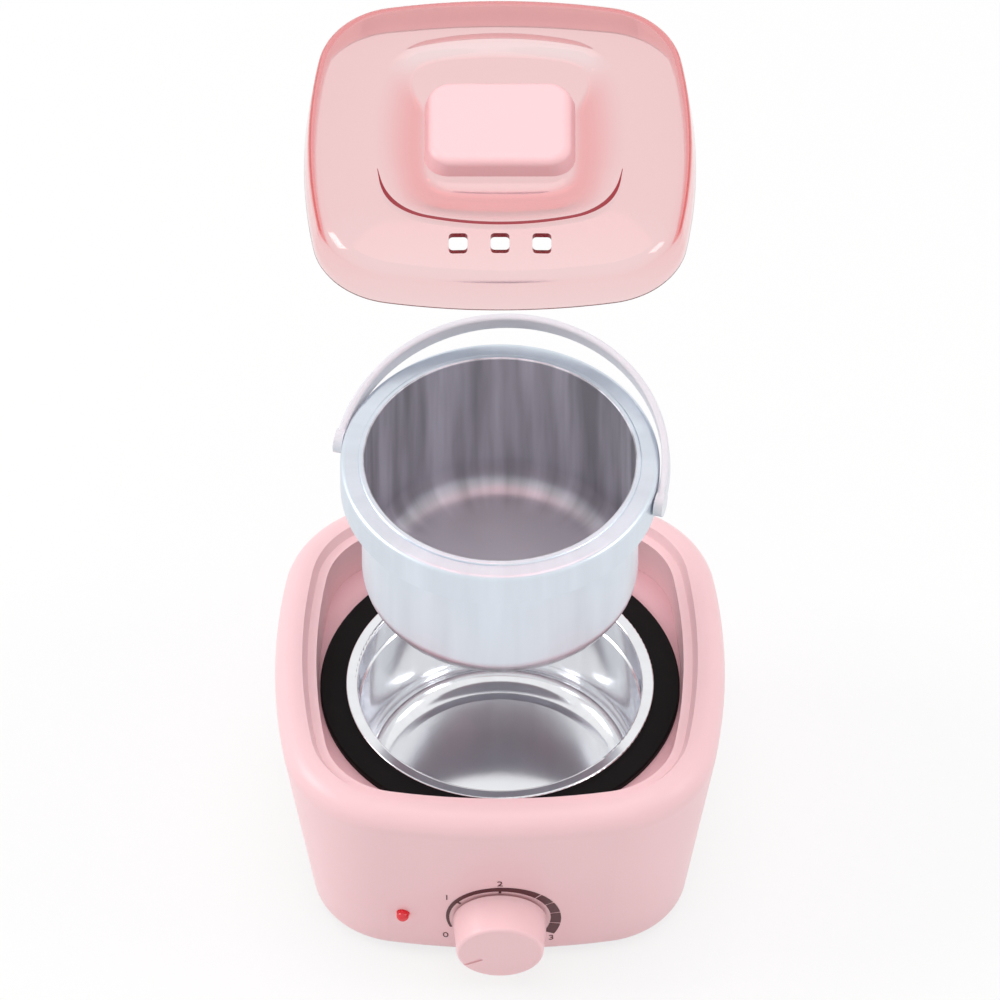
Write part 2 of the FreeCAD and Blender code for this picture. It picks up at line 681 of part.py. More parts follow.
def indicator_holder():
    """Lamp holder behind the lens."""
    front = -WALL - LENS_SEAT_GAP - LENS_FLANGE - SEAT
    holder = cylinder(LENS_RADIUS + HOLDER_WALL, front - HOLDER_LENGTH, front)
    return put(holder, wall_frame(LAMP_OFFSET, KNOB_HEIGHT))


def floor_rods():
    """Placements under the chamber's floor, along the bar, for the fuse and the sensor."""
    level = CHAMBER_UNDERSIDE - FUSE_RADIUS - SEAT
    places = []
    for side in (1, -1):
        spot = turned(Part.Vertex(0, side * CLIP_OFFSET, level), BAR_AZIMUTH).Point
        rotation = FreeCAD.Rotation(UP, BAR_AZIMUTH).multiply(FreeCAD.Rotation(vec(0, 1, 0), 90))
        places.append(FreeCAD.Placement(spot, rotation))
    return places


def thermal_fuse():
    """One-shot thermal fuse against the chamber's floor."""
    body = cylinder(FUSE_RADIUS, -FUSE_LENGTH / 2, FUSE_LENGTH / 2)
    ends = level_edges(body, FUSE_LENGTH / 2) + level_edges(body, -FUSE_LENGTH / 2)
    body = body.makeFillet(FUSE_EDGE, ends)
    return put(body, floor_rods()[0])


def capillary_sensor():
    """Sensing bulb against the chamber's floor, with the capillary that runs to the thermostat."""
    bulb_end = -BULB_LENGTH / 2
    bulb = put(cylinder(FUSE_RADIUS, bulb_end, BULB_LENGTH / 2), floor_rods()[1])
    start = floor_rods()[1].multVec(vec(0, 0, bulb_end + CAPILLARY_RADIUS))
    ahead = floor_rods()[1].multVec(vec(0, 0, bulb_end - CAPILLARY_STRAIGHT))
    rear = THERMOSTAT_FRONT - THERMOSTAT_DEPTH
    dial = wall_frame(0, KNOB_HEIGHT)
    aside = -THERMOSTAT_RADIUS / 2
    entry = dial.multVec(vec(aside, aside, rear - SEAT))
    approach = dial.multVec(vec(aside, aside, rear - CAPILLARY_LEAD))
    level = vec(approach.x, approach.y + CAPILLARY_SLANT, ahead.z)
    path = [tuple(p) for p in (start, ahead, level, approach, entry)]
    return bulb.fuse(tube(path, CAPILLARY_RADIUS)).removeSplitter()


def floor_clips():
    """Two sheet saddles welded under the chamber's floor that hold the fuse and the sensor."""
    inner = FUSE_RADIUS + SEAT
    outer = inner + CLIP_THICKNESS
    half = CLIP_LENGTH / 2
    reach = outer + CLIP_FOOT

    def slab(thickness, half_width):
        return Part.makeBox(thickness, 2 * half_width, CLIP_LENGTH, vec(-inner, -half_width, -half))

    def rod(radius):
        return cylinder(radius, -half, half)

    # Local X of a rod points down, so the floor lies on its -X side.
    saddle = rod(outer).fuse(slab(inner, outer)).fuse(slab(CLIP_THICKNESS, reach))
    saddle = saddle.cut(rod(inner)).cut(slab(inner, inner))
    saddle = saddle.common(slab(inner + outer, reach)).removeSplitter()
    return Part.makeCompound([put(saddle, place) for place in floor_rods()])


def terminal_block():
    """Ceramic terminal block on the cover."""
    width, depth, height = TERMINAL_SIZE
    x, y = TERMINAL_SPOT
    block = Part.makeBox(width, depth, height, vec(x - width / 2, y - depth / 2, COVER_TOP))
    for side in (-1, 1):
        mouth = vec(x + side * width / 4, y - depth / 2, COVER_TOP + height / 2)
        block = block.cut(Part.makeCylinder(WIRE_WAY_RADIUS, depth, mouth, vec(0, 1, 0)))
    return block.cut(cylinder(SCREW_RADIUS + HOLE_GAP, COVER_TOP, COVER_TOP + height, x, y))


def terminal_screw():
    """Screw up through the cover into the terminal block."""
    x, y = TERMINAL_SPOT
    return screw(HOUSING_FOOT - SEAT, COVER_THICKNESS + TERMINAL_SCREW_GRIP, x=x, y=y)


def gland_body():
    """Cable gland through the rear wall, with its dome outside."""
    body = hexagon(GLAND_FLATS, SEAT, SEAT + GLAND_COLLAR, GLAND_BORE)
    dome_top = SEAT + GLAND_COLLAR + GLAND_DOME
    dome = revolved([(GLAND_BORE, GLAND_COLLAR), (GLAND_DOME_RADIUS, GLAND_COLLAR),
                     (GLAND_DOME_RADIUS, dome_top, GLAND_DOME_ROUND), (GLAND_BORE, dome_top)])
    neck_low = -WALL - SEAT_PAD_HEIGHT - GLAND_NUT_HEIGHT - THREAD_PROUD
    neck = revolved([(GLAND_BORE, neck_low), (GLAND_NECK_RADIUS, neck_low),
                     (GLAND_NECK_RADIUS, GLAND_COLLAR), (GLAND_BORE, GLAND_COLLAR)])
    return put(body.fuse(dome).fuse(neck).removeSplitter(), wall_frame(0, GLAND_HEIGHT, rear=True))


def gland_nut():
    """Lock nut of the gland, inside the wall."""
    top = -WALL - SEAT_PAD_HEIGHT - SEAT
    nut = hexagon(GLAND_FLATS, top - GLAND_NUT_HEIGHT, top, GLAND_NECK_RADIUS + RUNNING)
    return put(nut, wall_frame(0, GLAND_HEIGHT, rear=True))


def bottom_cover():
    """Flat cover that closes the housing from below."""
    half = BOTTOM_HALF - COVER_GAP
    cover = loft(outline(half, HOUSING_FOOT), outline(half, COVER_TOP - SEAT))
    for x, y in post_spots() + [TERMINAL_SPOT]:
        cover = cover.cut(cylinder(SCREW_RADIUS + HOLE_GAP, HOUSING_FOOT, COVER_TOP, x, y))
    return cover


def rubber_feet():
    """Four rubber feet under the posts, each recessed for its screw."""
    bore = SCREW_RADIUS + HOLE_GAP
    recess = SCREW_HEAD_RADIUS + FOOT_RECESS_GAP
    web = HOUSING_FOOT - FOOT_WEB
    top = HOUSING_FOOT - SEAT
    foot = revolved([
        (bore, web), (recess, web), (recess, 0),
        (FOOT_RADIUS, 0, FOOT_EDGE), (FOOT_RADIUS, top), (bore, top)])
    return Part.makeCompound([foot.translated(vec(x, y, 0)) for x, y in post_spots()])


def foot_screws():
    """Four screws that hold the feet and the cover to the posts."""
    seat = HOUSING_FOOT - FOOT_WEB - SEAT
    head = min(SCREW_HEAD_HEIGHT, seat - FOOT_CLEARANCE)
    screws = []
    for x, y in post_spots():
        shank = cylinder(SCREW_RADIUS, seat, COVER_TOP + SCREW_GRIP, x, y)
        screws.append(cylinder(SCREW_HEAD_RADIUS, seat - head, seat, x, y).fuse(shank).removeSplitter())
    return Part.makeCompound(screws)


def pin_axis():
    """Direction of the bail's pegs."""
    angle = math.radians(BAIL_TURN)
    return vec(math.cos(angle), math.sin(angle), 0)


def wax_pot():
    """Drawn pot with a turned-down collar, pierced for the bail's pegs."""
    inner = POT_RADIUS - POT_WALL
    bead_top = POT_RIM + MOUTH_BEAD
    bead_width = 2 * POT_WALL
    skirt = COLLAR_RADIUS - POT_WALL
    under = POT_RIM - POT_WALL
    pot = revolved([
        (0, POT_UNDERSIDE), (POT_RADIUS, POT_UNDERSIDE, POT_CORNER), (POT_RADIUS, under), (skirt, under),
        (skirt, COLLAR_FOOT), (COLLAR_RADIUS, COLLAR_FOOT), (COLLAR_RADIUS, POT_RIM, COLLAR_EDGE),
        (inner + bead_width, POT_RIM), (inner + bead_width, bead_top, MOUTH_BEAD_ROUND),
        (inner, bead_top, MOUTH_BEAD_ROUND), (inner, POT_UNDERSIDE + POT_WALL, POT_CORNER - POT_WALL),
        (0, POT_UNDERSIDE + POT_WALL)])
    for side in (-1, 1):
        way = pin_axis() * side
        hole = Part.makeCylinder(BAIL_PEG_RADIUS + RUNNING, 2 * COLLAR_WIDTH - 2 * POT_WALL,
                                 way * (POT_RADIUS + POT_WALL) + UP * BAIL_PIVOT, way)
        pot = pot.cut(hole)
    return raised(pot, POT_LIFT)


def bail_handle():
    """Moulded bail: a flat strap bowed clear of the collar, with an eye and a peg at each end."""
    def leg(x, low, high):
        return Part.makeLine(vec(x, 0, low), vec(x, 0, high))

    def bow(radius):
        ends = vec(radius, 0, BAIL_LEG), vec(-radius, 0, BAIL_LEG)
        return Part.Arc(ends[0], vec(0, 0, BAIL_LEG + radius), ends[1]).toShape()

    def foot(side):
        return Part.makeLine(vec(side * BAIL_OUTER, 0, 0), vec(side * BAIL_INNER, 0, 0))

    loop = Part.Wire([
        leg(BAIL_OUTER, 0, BAIL_LEG), bow(BAIL_OUTER), leg(-BAIL_OUTER, BAIL_LEG, 0), foot(-1),
        leg(-BAIL_INNER, 0, BAIL_LEG), bow(BAIL_INNER), leg(BAIL_INNER, BAIL_LEG, 0), foot(1)])
    strap = Part.Face(loop).extrude(vec(0, BAIL_WIDTH, 0)).translated(vec(0, -BAIL_WIDTH / 2, 0))
    strap = strap.makeFillet(BAIL_EDGE, [e for e in strap.Edges if e.BoundBox.ZLength > BAIL_LEG])
    for way in (-1, 1):
        axis = vec(way, 0, 0)
        eye = Part.makeCylinder(BAIL_EYE_RADIUS, BAIL_THICKNESS + BAIL_EYE_PROUD, axis * BAIL_INNER, axis)
        peg = Part.makeCylinder(BAIL_PEG_RADIUS, BAIL_PEG_LENGTH, axis * BAIL_INNER, axis * -1)
        strap = strap.fuse(eye).fuse(peg)
    strap = turned(strap.removeSplitter(), BAIL_REST_ANGLE - 90.0, vec(1, 0, 0))
    strap = turned(strap, BAIL_TURN)
    return raised(strap, BAIL_PIVOT + POT_LIFT)


def dish_outline(grow, z):
    """Outline of the finger dish, grown outwards by an even margin."""
    return outline(DISH_HALF + grow, z, DISH_SIDE_RADIUS + grow, DISH_CORNER + grow)


def cap(shrink):
    """Drafted cap with a round edge and a top that rises to the dish, shrunk evenly for its inside."""
    top = LID_TOP - shrink
    half = LID_HALF - shrink
    solid = loft(outline(half, LID_RIM), outline(half - LID_DRAFT, top), dish_outline(0, DISH_EDGE - shrink))
    return solid.makeFillet(LID_EDGE_RADIUS - shrink, level_edges(solid, top))


def dish(grow, floor):
    """Tapered well of the finger dish, which reaches a little past its own edge."""
    slope = DISH_SLOPE / DISH_DEPTH
    over = DISH_EDGE + DISH_DEPTH
    foot = grow - DISH_SLOPE
    return loft(dish_outline(foot, floor), dish_outline(foot + (over - floor) * slope, over))


def grip_screw_spots():
    """Places of the two screws under the grip."""
    return [(-GRIP_SCREW_SPAN / 2, 0.0), (GRIP_SCREW_SPAN / 2, 0.0)]


def lid_shell():
    """Translucent lid with a domed top, a finger dish and three vents at the front."""
    shell = cap(0).cut(dish(DISH_LAP, GRIP_FLOOR))
    shell = shell.cut(cap(LID_WALL).cut(dish(DISH_LAP + LID_WALL, GRIP_FLOOR - LID_WALL)))
    vent = loft(rounded_box_wire(VENT_WIDTH, VENT_WIDTH, VENT_CORNER, LID_TOP - LID_SKIRT / 2),
                rounded_box_wire(VENT_WIDTH, VENT_WIDTH, VENT_CORNER, LID_TOP + LID_SKIRT / 2))
    for step in (-1, 0, 1):
        shell = shell.cut(vent.translated(vec(step * VENT_PITCH, -DISH_HALF - VENT_SETBACK, 0)))
    for x, y in grip_screw_spots():
        shell = shell.cut(cylinder(SCREW_RADIUS + HOLE_GAP, GRIP_FLOOR - 2 * LID_WALL, GRIP_FLOOR, x, y))
    return raised(shell, POT_LIFT + LID_LIFT_OVER_POT)


def lid_grip():
    """Opaque moulded grip that stands in the dish, hollow under its top."""
    foot = GRIP_FLOOR + SEAT
    def section(grow, corner, z):
        return rounded_box_wire(GRIP_WIDTH + grow, GRIP_DEPTH + grow, corner, z)

    grip = loft(section(GRIP_DRAFT, GRIP_CORNER, foot), section(-GRIP_DRAFT, GRIP_CORNER, GRIP_TOP))
    grip = grip.makeFillet(GRIP_EDGE, level_edges(grip, GRIP_TOP))
    hollow_corner = GRIP_CORNER - GRIP_WALL
    hollow = loft(section(-2 * GRIP_WALL, hollow_corner, foot),
                  section(-2 * GRIP_WALL - GRIP_DRAFT, hollow_corner, GRIP_TOP - GRIP_WALL))
    for x, y in grip_screw_spots():
        hollow = hollow.cut(cylinder(POST_RADIUS, foot, GRIP_TOP, x, y))
    grip = grip.cut(hollow)
    for x, y in grip_screw_spots():
        grip = grip.cut(cylinder(SCREW_RADIUS + RUNNING, foot, GRIP_TOP - GRIP_WALL, x, y))
    return raised(grip.removeSplitter(), POT_LIFT + LID_LIFT_OVER_POT)


def grip_screws():
    """Two screws up through the dish's floor into the grip."""
    seat = GRIP_FLOOR - LID_WALL - SEAT
    length = GRIP_TOP - GRIP_WALL - SCREW_END_GAP - seat
    screws = Part.makeCompound([screw(seat, length, x=x, y=y) for x, y in grip_screw_spots()])
    return raised(screws, POT_LIFT + LID_LIFT_OVER_POT)


PIECES = (
    housing, inner_deck, insulating_ring, heating_chamber, band_heater, heater_strap, strap_bolt, strap_nut,
    hold_down_bar, hold_down_nut, bar_screws, thermostat_body, thermostat_tabs, thermostat_nut,
    capillary_sensor, thermal_fuse, floor_clips, indicator_lens, indicator_holder, terminal_block,
    terminal_screw, gland_body, gland_nut, bottom_cover, rubber_feet, foot_screws, control_knob,
    thermostat_shaft, wax_pot, bail_handle, lid_shell, lid_grip, grip_screws,
)


def main():
    """Writes each piece to a file with its own name."""
    os.makedirs("parts", exist_ok=True)
    for piece in PIECES:
        shape = piece()
        if not shape.isValid():
            raise ValueError(f"{piece.__name__} is not a valid solid")
        shape.exportStep(os.path.join("parts", f"{piece.__name__}.step"))


if __name__ == "__main__":
    main()
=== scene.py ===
"""Studio scene of a salon wax warmer drawn apart: clear pink lid, pot with its bail, heated base."""
from __future__ import annotations

import logging
import math
from collections.abc import Iterable
from dataclasses import dataclass
from enum import Enum
from typing import Any

import bpy
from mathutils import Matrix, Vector

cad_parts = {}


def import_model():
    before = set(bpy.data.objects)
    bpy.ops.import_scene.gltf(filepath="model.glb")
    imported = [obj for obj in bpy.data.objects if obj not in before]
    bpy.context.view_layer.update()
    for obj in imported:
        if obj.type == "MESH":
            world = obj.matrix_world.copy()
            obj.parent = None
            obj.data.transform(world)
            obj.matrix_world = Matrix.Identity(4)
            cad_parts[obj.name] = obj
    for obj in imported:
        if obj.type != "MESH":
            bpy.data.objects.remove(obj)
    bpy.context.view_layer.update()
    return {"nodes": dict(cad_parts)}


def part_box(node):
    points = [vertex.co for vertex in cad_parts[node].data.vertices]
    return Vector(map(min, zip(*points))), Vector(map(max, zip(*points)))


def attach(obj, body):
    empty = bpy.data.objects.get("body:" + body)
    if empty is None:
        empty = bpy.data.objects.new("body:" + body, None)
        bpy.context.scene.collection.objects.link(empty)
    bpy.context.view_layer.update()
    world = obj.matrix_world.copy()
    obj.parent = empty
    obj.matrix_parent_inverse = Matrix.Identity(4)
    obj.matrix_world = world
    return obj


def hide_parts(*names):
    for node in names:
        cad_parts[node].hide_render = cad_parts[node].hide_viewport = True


LOG = logging.getLogger("wax_warmer")
MM = 0.001
WHITE = (1.0, 1.0, 1.0, 1.0)

Colour = tuple[float, float, float]
Place = tuple[float, float, float]
Materials = dict[str, bpy.types.Material]


class Body(Enum):
    """Rigid bodies that carry the pieces made here."""

    BASE = "base"
    LID = "lid"


class ScreenCurve:
    """The curve by which screens store colour."""

    TOP = 255
    TOE_END = 0.04045
    TOE_SLOPE = 12.92
    OFFSET = 0.055
    POWER = 2.4

    @classmethod
    def linear(cls, level: int) -> float:
        """Turns one screen level into a linear one.

        Args:
            level: Level from 0 to 255.

        Returns:
            Linear share of full light.
        """
        share = level / cls.TOP
        if share <= cls.TOE_END:
            return share / cls.TOE_SLOPE
        return ((share + cls.OFFSET) / (1.0 + cls.OFFSET)) ** cls.POWER


def tint(red: int, green: int, blue: int) -> Colour:
    """Turns a screen colour, with levels from 0 to 255, into the linear values that shaders take."""
    return ScreenCurve.linear(red), ScreenCurve.linear(green), ScreenCurve.linear(blue)


class Graph:
    """Adds and joins the nodes of one shader or geometry tree."""

    def __init__(self, tree: bpy.types.NodeTree) -> None:
        """Holds the tree that the nodes go into."""
        self.tree = tree

    def feed(self, socket: bpy.types.NodeSocket, value: Any) -> None:
        """Links a socket to another one, or sets its plain value.

        Args:
            socket: Input to fill.
            value: Output socket, node whose first output is meant, or plain value.
        """
        if isinstance(value, bpy.types.Node):
            value = value.outputs[0]
        if isinstance(value, bpy.types.NodeSocket):
            self.tree.links.new(value, socket)
        else:
            socket.default_value = value

    def node(self, kind: str, inputs: dict[Any, Any] | None = None, **settings: Any) -> bpy.types.Node:
        """Adds a node.

        Args:
            kind: Blender's name of the node type.
            inputs: Values or sockets by input name or index.
            **settings: Properties of the node.

        Returns:
            The new node.
        """
        made = self.tree.nodes.new(kind)
        for name, value in settings.items():
            setattr(made, name, value)
        for key, value in (inputs or {}).items():
            self.feed(made.inputs[key], value)
        return made

    def math(self, operation: str, *values: Any) -> bpy.types.NodeSocket:
        """Adds a Math node.

        Args:
            operation: Blender's name of the operation.
            *values: Numbers or sockets, in order.

        Returns:
            The result.
        """
        return self.node("ShaderNodeMath", dict(enumerate(values)), operation=operation).outputs[0]

    def noise(self, place: Any, scale: Any, detail: float, warp: float = 0.0,
              **settings: Any) -> bpy.types.NodeSocket:
        """Adds a Noise Texture.

        Args:
            place: Socket of the coordinates.
            scale: How fine it is.
            detail: Number of finer layers.
            warp: How far it is distorted.
            **settings: Properties of the node.

        Returns:
            Its value.
        """
        inputs = {"Vector": place, "Scale": scale, "Detail": detail, "Distortion": warp}
        return self.node("ShaderNodeTexNoise", inputs, **settings).outputs[0]

    def spread(self, value: Any, low: float, high: float, start: float = 0.0,
               end: float = 1.0) -> bpy.types.NodeSocket:
        """Maps a value from one span to another.

        Args:
            value: Socket to map.
            low: Result at the start.
            high: Result at the end.
            start: Value that gives low.
            end: Value that gives high.

        Returns:
            The mapped value, held within its span.
        """
        spans = {0: value, 1: start, 2: end, 3: low, 4: high}
        return self.node("ShaderNodeMapRange", spans).outputs[0]

    def blend(self, share: Any, first: Any, second: Any) -> bpy.types.NodeSocket:
        """Mixes two colours.

        Args:
            share: How much of the second colour.
            first: Linear colour or socket.
            second: Linear colour or socket.

        Returns:
            The mixed colour.
        """
        made = self.node("ShaderNodeMix", data_type="RGBA")
        for name, value in {"Factor": share, "A": first, "B": second}.items():
            socket = next(s for s in made.inputs if s.name == name and s.enabled)
            self.feed(socket, (*value, 1.0) if isinstance(value, tuple) else value)
        return next(s for s in made.outputs if s.enabled)


class Effects:
    """Shader groups that more than one finish uses, each built once."""

    GRAIN = "moulding_grain"
    FINE_DETAIL = 2.0
    BROAD_DETAIL = 3.0

    LATHE = "lathe_marks"
    RING_DETAIL = 4.0
    STREAK_DETAIL = 3.0
    STREAK_RISE = 1.5
    STREAK_MIDDLE = 0.5
    STREAK_START = 34.0 * MM
    STREAK_FULL = 49.0 * MM

    HANDLING = "handling_marks"
    PATCH_DETAIL = 6.0
    PATCH_WARP = 0.8
    PATCH_START = 0.42
    PATCH_FULL = 0.68

    @staticmethod
    def begin(name: str, inputs: Iterable[str], outputs: Iterable[str]) -> tuple[Graph, Any, Any]:
        """Starts a group with a vector input and further number sockets.

        Args:
            name: Name of the group.
            inputs: Names of its number inputs.
            outputs: Names of its number outputs.

        Returns:
            The group's graph, the sockets that it is given and the sockets of its result.
        """
        tree = bpy.data.node_groups.new(name, "ShaderNodeTree")
        tree.interface.new_socket("Vector", in_out="INPUT", socket_type="NodeSocketVector")
        for label in inputs:
            tree.interface.new_socket(label, in_out="INPUT", socket_type="NodeSocketFloat")
        for label in outputs:
            tree.interface.new_socket(label, in_out="OUTPUT", socket_type="NodeSocketFloat")
        graph = Graph(tree)
        return graph, graph.node("NodeGroupInput").outputs, graph.node("NodeGroupOutput").inputs

    @classmethod
    def grain(cls) -> bpy.types.NodeTree:
        """Fine spark texture of a mould, with a broad unevenness of its gloss.

        Returns:
            The group, built at the first call.
        """
        if cls.GRAIN in bpy.data.node_groups:
            return bpy.data.node_groups[cls.GRAIN]
        graph, given, result = cls.begin(cls.GRAIN, ("Fine Scale", "Broad Scale"), ("Height", "Mottle"))
        fine = graph.noise(given["Vector"], given["Fine Scale"], cls.FINE_DETAIL)
        broad = graph.noise(given["Vector"], given["Broad Scale"], cls.BROAD_DETAIL)
        graph.feed(result["Height"], fine)
        graph.feed(result["Mottle"], broad)
        return graph.tree

    @classmethod
    def lathe(cls) -> bpy.types.NodeTree:
        """Fine rings left by turning, and streaks along the axis that fade out on a floor.

        Returns:
            The group, built at the first call.
        """
        if cls.LATHE in bpy.data.node_groups:
            return bpy.data.node_groups[cls.LATHE]
        graph, given, result = cls.begin(
            cls.LATHE, ("Ring Density", "Streak Density"), ("Rings", "Streaks", "Radius"))
        across, along, height = graph.node("ShaderNodeSeparateXYZ", {0: given["Vector"]}).outputs
        flat = graph.node("ShaderNodeCombineXYZ", {0: across, 1: along})
        radius = graph.node("ShaderNodeVectorMath", {0: flat}, operation="LENGTH").outputs["Value"]
        ring_place = graph.node("ShaderNodeCombineXYZ", {0: radius, 1: height})
        rings = graph.noise(ring_place, given["Ring Density"], cls.RING_DETAIL, noise_dimensions="2D")
        bearing = graph.node("ShaderNodeVectorMath", {0: flat}, operation="NORMALIZE")
        bearing_x, bearing_y, _ = graph.node("ShaderNodeSeparateXYZ", {0: bearing}).outputs
        rise = graph.math("MULTIPLY", height, cls.STREAK_RISE)
        streak_place = graph.node("ShaderNodeCombineXYZ", {0: bearing_x, 1: bearing_y, 2: rise})
        streaks = graph.noise(streak_place, given["Streak Density"], cls.STREAK_DETAIL)
        presence = graph.spread(radius, 0.0, 1.0, cls.STREAK_START, cls.STREAK_FULL)
        centred = graph.math("SUBTRACT", streaks, cls.STREAK_MIDDLE)
        graph.feed(result["Rings"], rings)
        graph.feed(result["Streaks"], graph.math("MULTIPLY_ADD", centred, presence, cls.STREAK_MIDDLE))
        graph.feed(result["Radius"], radius)
        return graph.tree

    @classmethod
    def handling(cls) -> bpy.types.NodeTree:
        """Faint wipes and finger marks that dull a gloss in patches.

        Returns:
            The group, built at the first call.
        """
        if cls.HANDLING in bpy.data.node_groups:
            return bpy.data.node_groups[cls.HANDLING]
        graph, given, result = cls.begin(cls.HANDLING, ("Scale",), ("Dull",))
        patches = graph.noise(given["Vector"], given["Scale"], cls.PATCH_DETAIL, cls.PATCH_WARP)
        graph.feed(result["Dull"], graph.spread(patches, 0.0, 1.0, cls.PATCH_START, cls.PATCH_FULL))
        return graph.tree


class Surface:
    """A material with its Principled shader, ready to be detailed."""

    def __init__(self, name: str) -> None:
        """Makes an empty material with one Principled shader.

        Args:
            name: Name of the material.
        """
        self.material = bpy.data.materials.new(name)
        self.material.use_nodes = True
        self.graph = Graph(self.material.node_tree)
        self.shader = next(n for n in self.graph.tree.nodes if n.type == "BSDF_PRINCIPLED")
        self.output = next(n for n in self.graph.tree.nodes if n.type == "OUTPUT_MATERIAL")
        self.place = self.graph.node("ShaderNodeTexCoord").outputs["Object"]

    def put(self, **values: Any) -> None:
        """Sets shader sockets.

        Args:
            **values: Values or sockets by the names of the inputs, with underscores for spaces.
        """
        for name, value in values.items():
            if isinstance(value, tuple) and "Color" in name:
                value = (*value, 1.0)
            self.graph.feed(self.shader.inputs[name.replace("_", " ")], value)

    def effect(self, tree: bpy.types.NodeTree, **values: float) -> Any:
        """Places a shared effect on object coordinates.

        Args:
            tree: The shader group.
            **values: Its numbers, with underscores for spaces.

        Returns:
            The sockets of its result.
        """
        made = self.graph.node("ShaderNodeGroup", node_tree=tree)
        self.graph.feed(made.inputs["Vector"], self.place)
        for name, value in values.items():
            made.inputs[name.replace("_", " ")].default_value = value
        return made.outputs

    def bump(self, height: Any, depth: float) -> None:
        """Raises the surface by a height map.

        Args:
            height: Socket from 0 to 1.
            depth: Depth in metres of a full step.
        """
        inputs = {"Height": height, "Distance": depth, "Strength": 1.0}
        self.put(Normal=self.graph.node("ShaderNodeBump", inputs))


def deepened(colour: Colour, share: float) -> Colour:
    """Gives a colour with a share of its light."""
    return tuple(channel * share for channel in colour)


@dataclass(frozen=True)
class Moulded:
    """Opaque moulded plastic or rubber."""

    name: str
    colour: Colour
    roughness: float = 0.34
    uneven: float = 0.05
    fine_scale: float = 2600.0
    broad_scale: float = 24.0
    depth: float = 0.02 * MM
    shade: float = 0.965
    softness: float = 0.0
    sheen: float = 0.5
    # Strength of a painted glow in the plastic's own colour.
    glow: float = 0.0

    MOTTLE_LOW = 0.3
    MOTTLE_HIGH = 0.7
    SOFT_DEPTH = 2.5 * MM
    SOFT_REACH = (1.0, 0.45, 0.4)

    def build(self) -> bpy.types.Material:
        """Makes the material.

        Returns:
            The plastic.
        """
        surface = Surface(self.name)
        grain = surface.effect(Effects.grain(), Fine_Scale=self.fine_scale, Broad_Scale=self.broad_scale)
        mottle = grain["Mottle"]
        smoothest, roughest = self.roughness - self.uneven, self.roughness + self.uneven
        rough = surface.graph.spread(mottle, smoothest, roughest, self.MOTTLE_LOW, self.MOTTLE_HIGH)
        colour = surface.graph.blend(mottle, self.colour, deepened(self.colour, self.shade))
        surface.put(Base_Color=colour, Roughness=rough)
        surface.put(Specular_IOR_Level=self.sheen, Subsurface_Weight=self.softness)
        surface.put(Subsurface_Scale=self.SOFT_DEPTH, Subsurface_Radius=self.SOFT_REACH)
        surface.put(Emission_Color=self.colour, Emission_Strength=self.glow)
        surface.bump(grain["Height"], self.depth)
        return surface.material


@dataclass(frozen=True)
class Tinted:
    """Clear tinted plastic that turns deep red where light runs along the wall."""

    name: str
    absorbed: Colour
    density: float
    roughness: float = 0.06
    uneven: float = 0.03
    mark_scale: float = 18.0
    refraction: float = 1.47
    passed: Colour = (0.9, 1.0, 1.0)
    shadow: Colour = (0.96, 0.78, 0.80)

    def build(self) -> bpy.types.Material:
        """Makes the material.

        Returns:
            The clear plastic.
        """
        surface = Surface(self.name)
        graph = surface.graph
        dull = surface.effect(Effects.handling(), Scale=self.mark_scale)["Dull"]
        rough = graph.spread(dull, self.roughness, self.roughness + self.uneven)
        surface.put(Base_Color=self.passed, Roughness=rough, Transmission_Weight=1.0, IOR=self.refraction)
        body = graph.node("ShaderNodeVolumeAbsorption", {
            "Color": (*self.absorbed, 1.0), "Density": self.density})
        graph.feed(surface.output.inputs["Volume"], body)
        path = graph.node("ShaderNodeLightPath").outputs["Is Shadow Ray"]
        clear = graph.node("ShaderNodeBsdfTransparent", {0: (*self.shadow, 1.0)})
        mixed = graph.node("ShaderNodeMixShader", {0: path, 1: surface.shader, 2: clear})
        graph.feed(surface.output.inputs["Surface"], mixed)
        return surface.material


@dataclass(frozen=True)
class Turned:
    """Bare metal with turning rings and streaks along its axis."""

    name: str
    colour: Colour
    roughness: float
    ring_density: float = 900.0
    ring_depth: float = 0.01 * MM
    streak_density: float = 16.0
    streak_shade: float = 0.92
    inside_radius: float = 0.0
    inside_colour: Colour = (0.5, 0.5, 0.52)
    inside_shade: float = 0.45
    inside_metal: float = 0.6

    MARK_SCALE = 30.0
    DULLED_BY = 0.35
    STREAK_LOW = 0.35
    STREAK_HIGH = 0.65

    def build(self) -> bpy.types.Material:
        """Makes the material.

        Returns:
            The metal.
        """
        surface = Surface(self.name)
        graph = surface.graph
        marks = surface.effect(
            Effects.lathe(), Ring_Density=self.ring_density, Streak_Density=self.streak_density)
        dull = surface.effect(Effects.handling(), Scale=self.MARK_SCALE)["Dull"]
        streak = graph.spread(marks["Streaks"], 0.0, 1.0, self.STREAK_LOW, self.STREAK_HIGH)
        colour = graph.blend(streak, self.colour, deepened(self.colour, self.streak_shade))
        metal = 1.0
        if self.inside_radius:
            deeper = deepened(self.inside_colour, self.inside_shade)
            inner = graph.blend(streak, self.inside_colour, deeper)
            within = graph.math("LESS_THAN", marks["Radius"], self.inside_radius)
            colour = graph.blend(within, colour, inner)
            metal = graph.spread(within, 1.0, self.inside_metal)
        rough = graph.math("MULTIPLY_ADD", dull, self.roughness * self.DULLED_BY, self.roughness)
        surface.put(Base_Color=colour, Roughness=rough, Metallic=metal)
        surface.bump(marks["Rings"], self.ring_depth)
        return surface.material


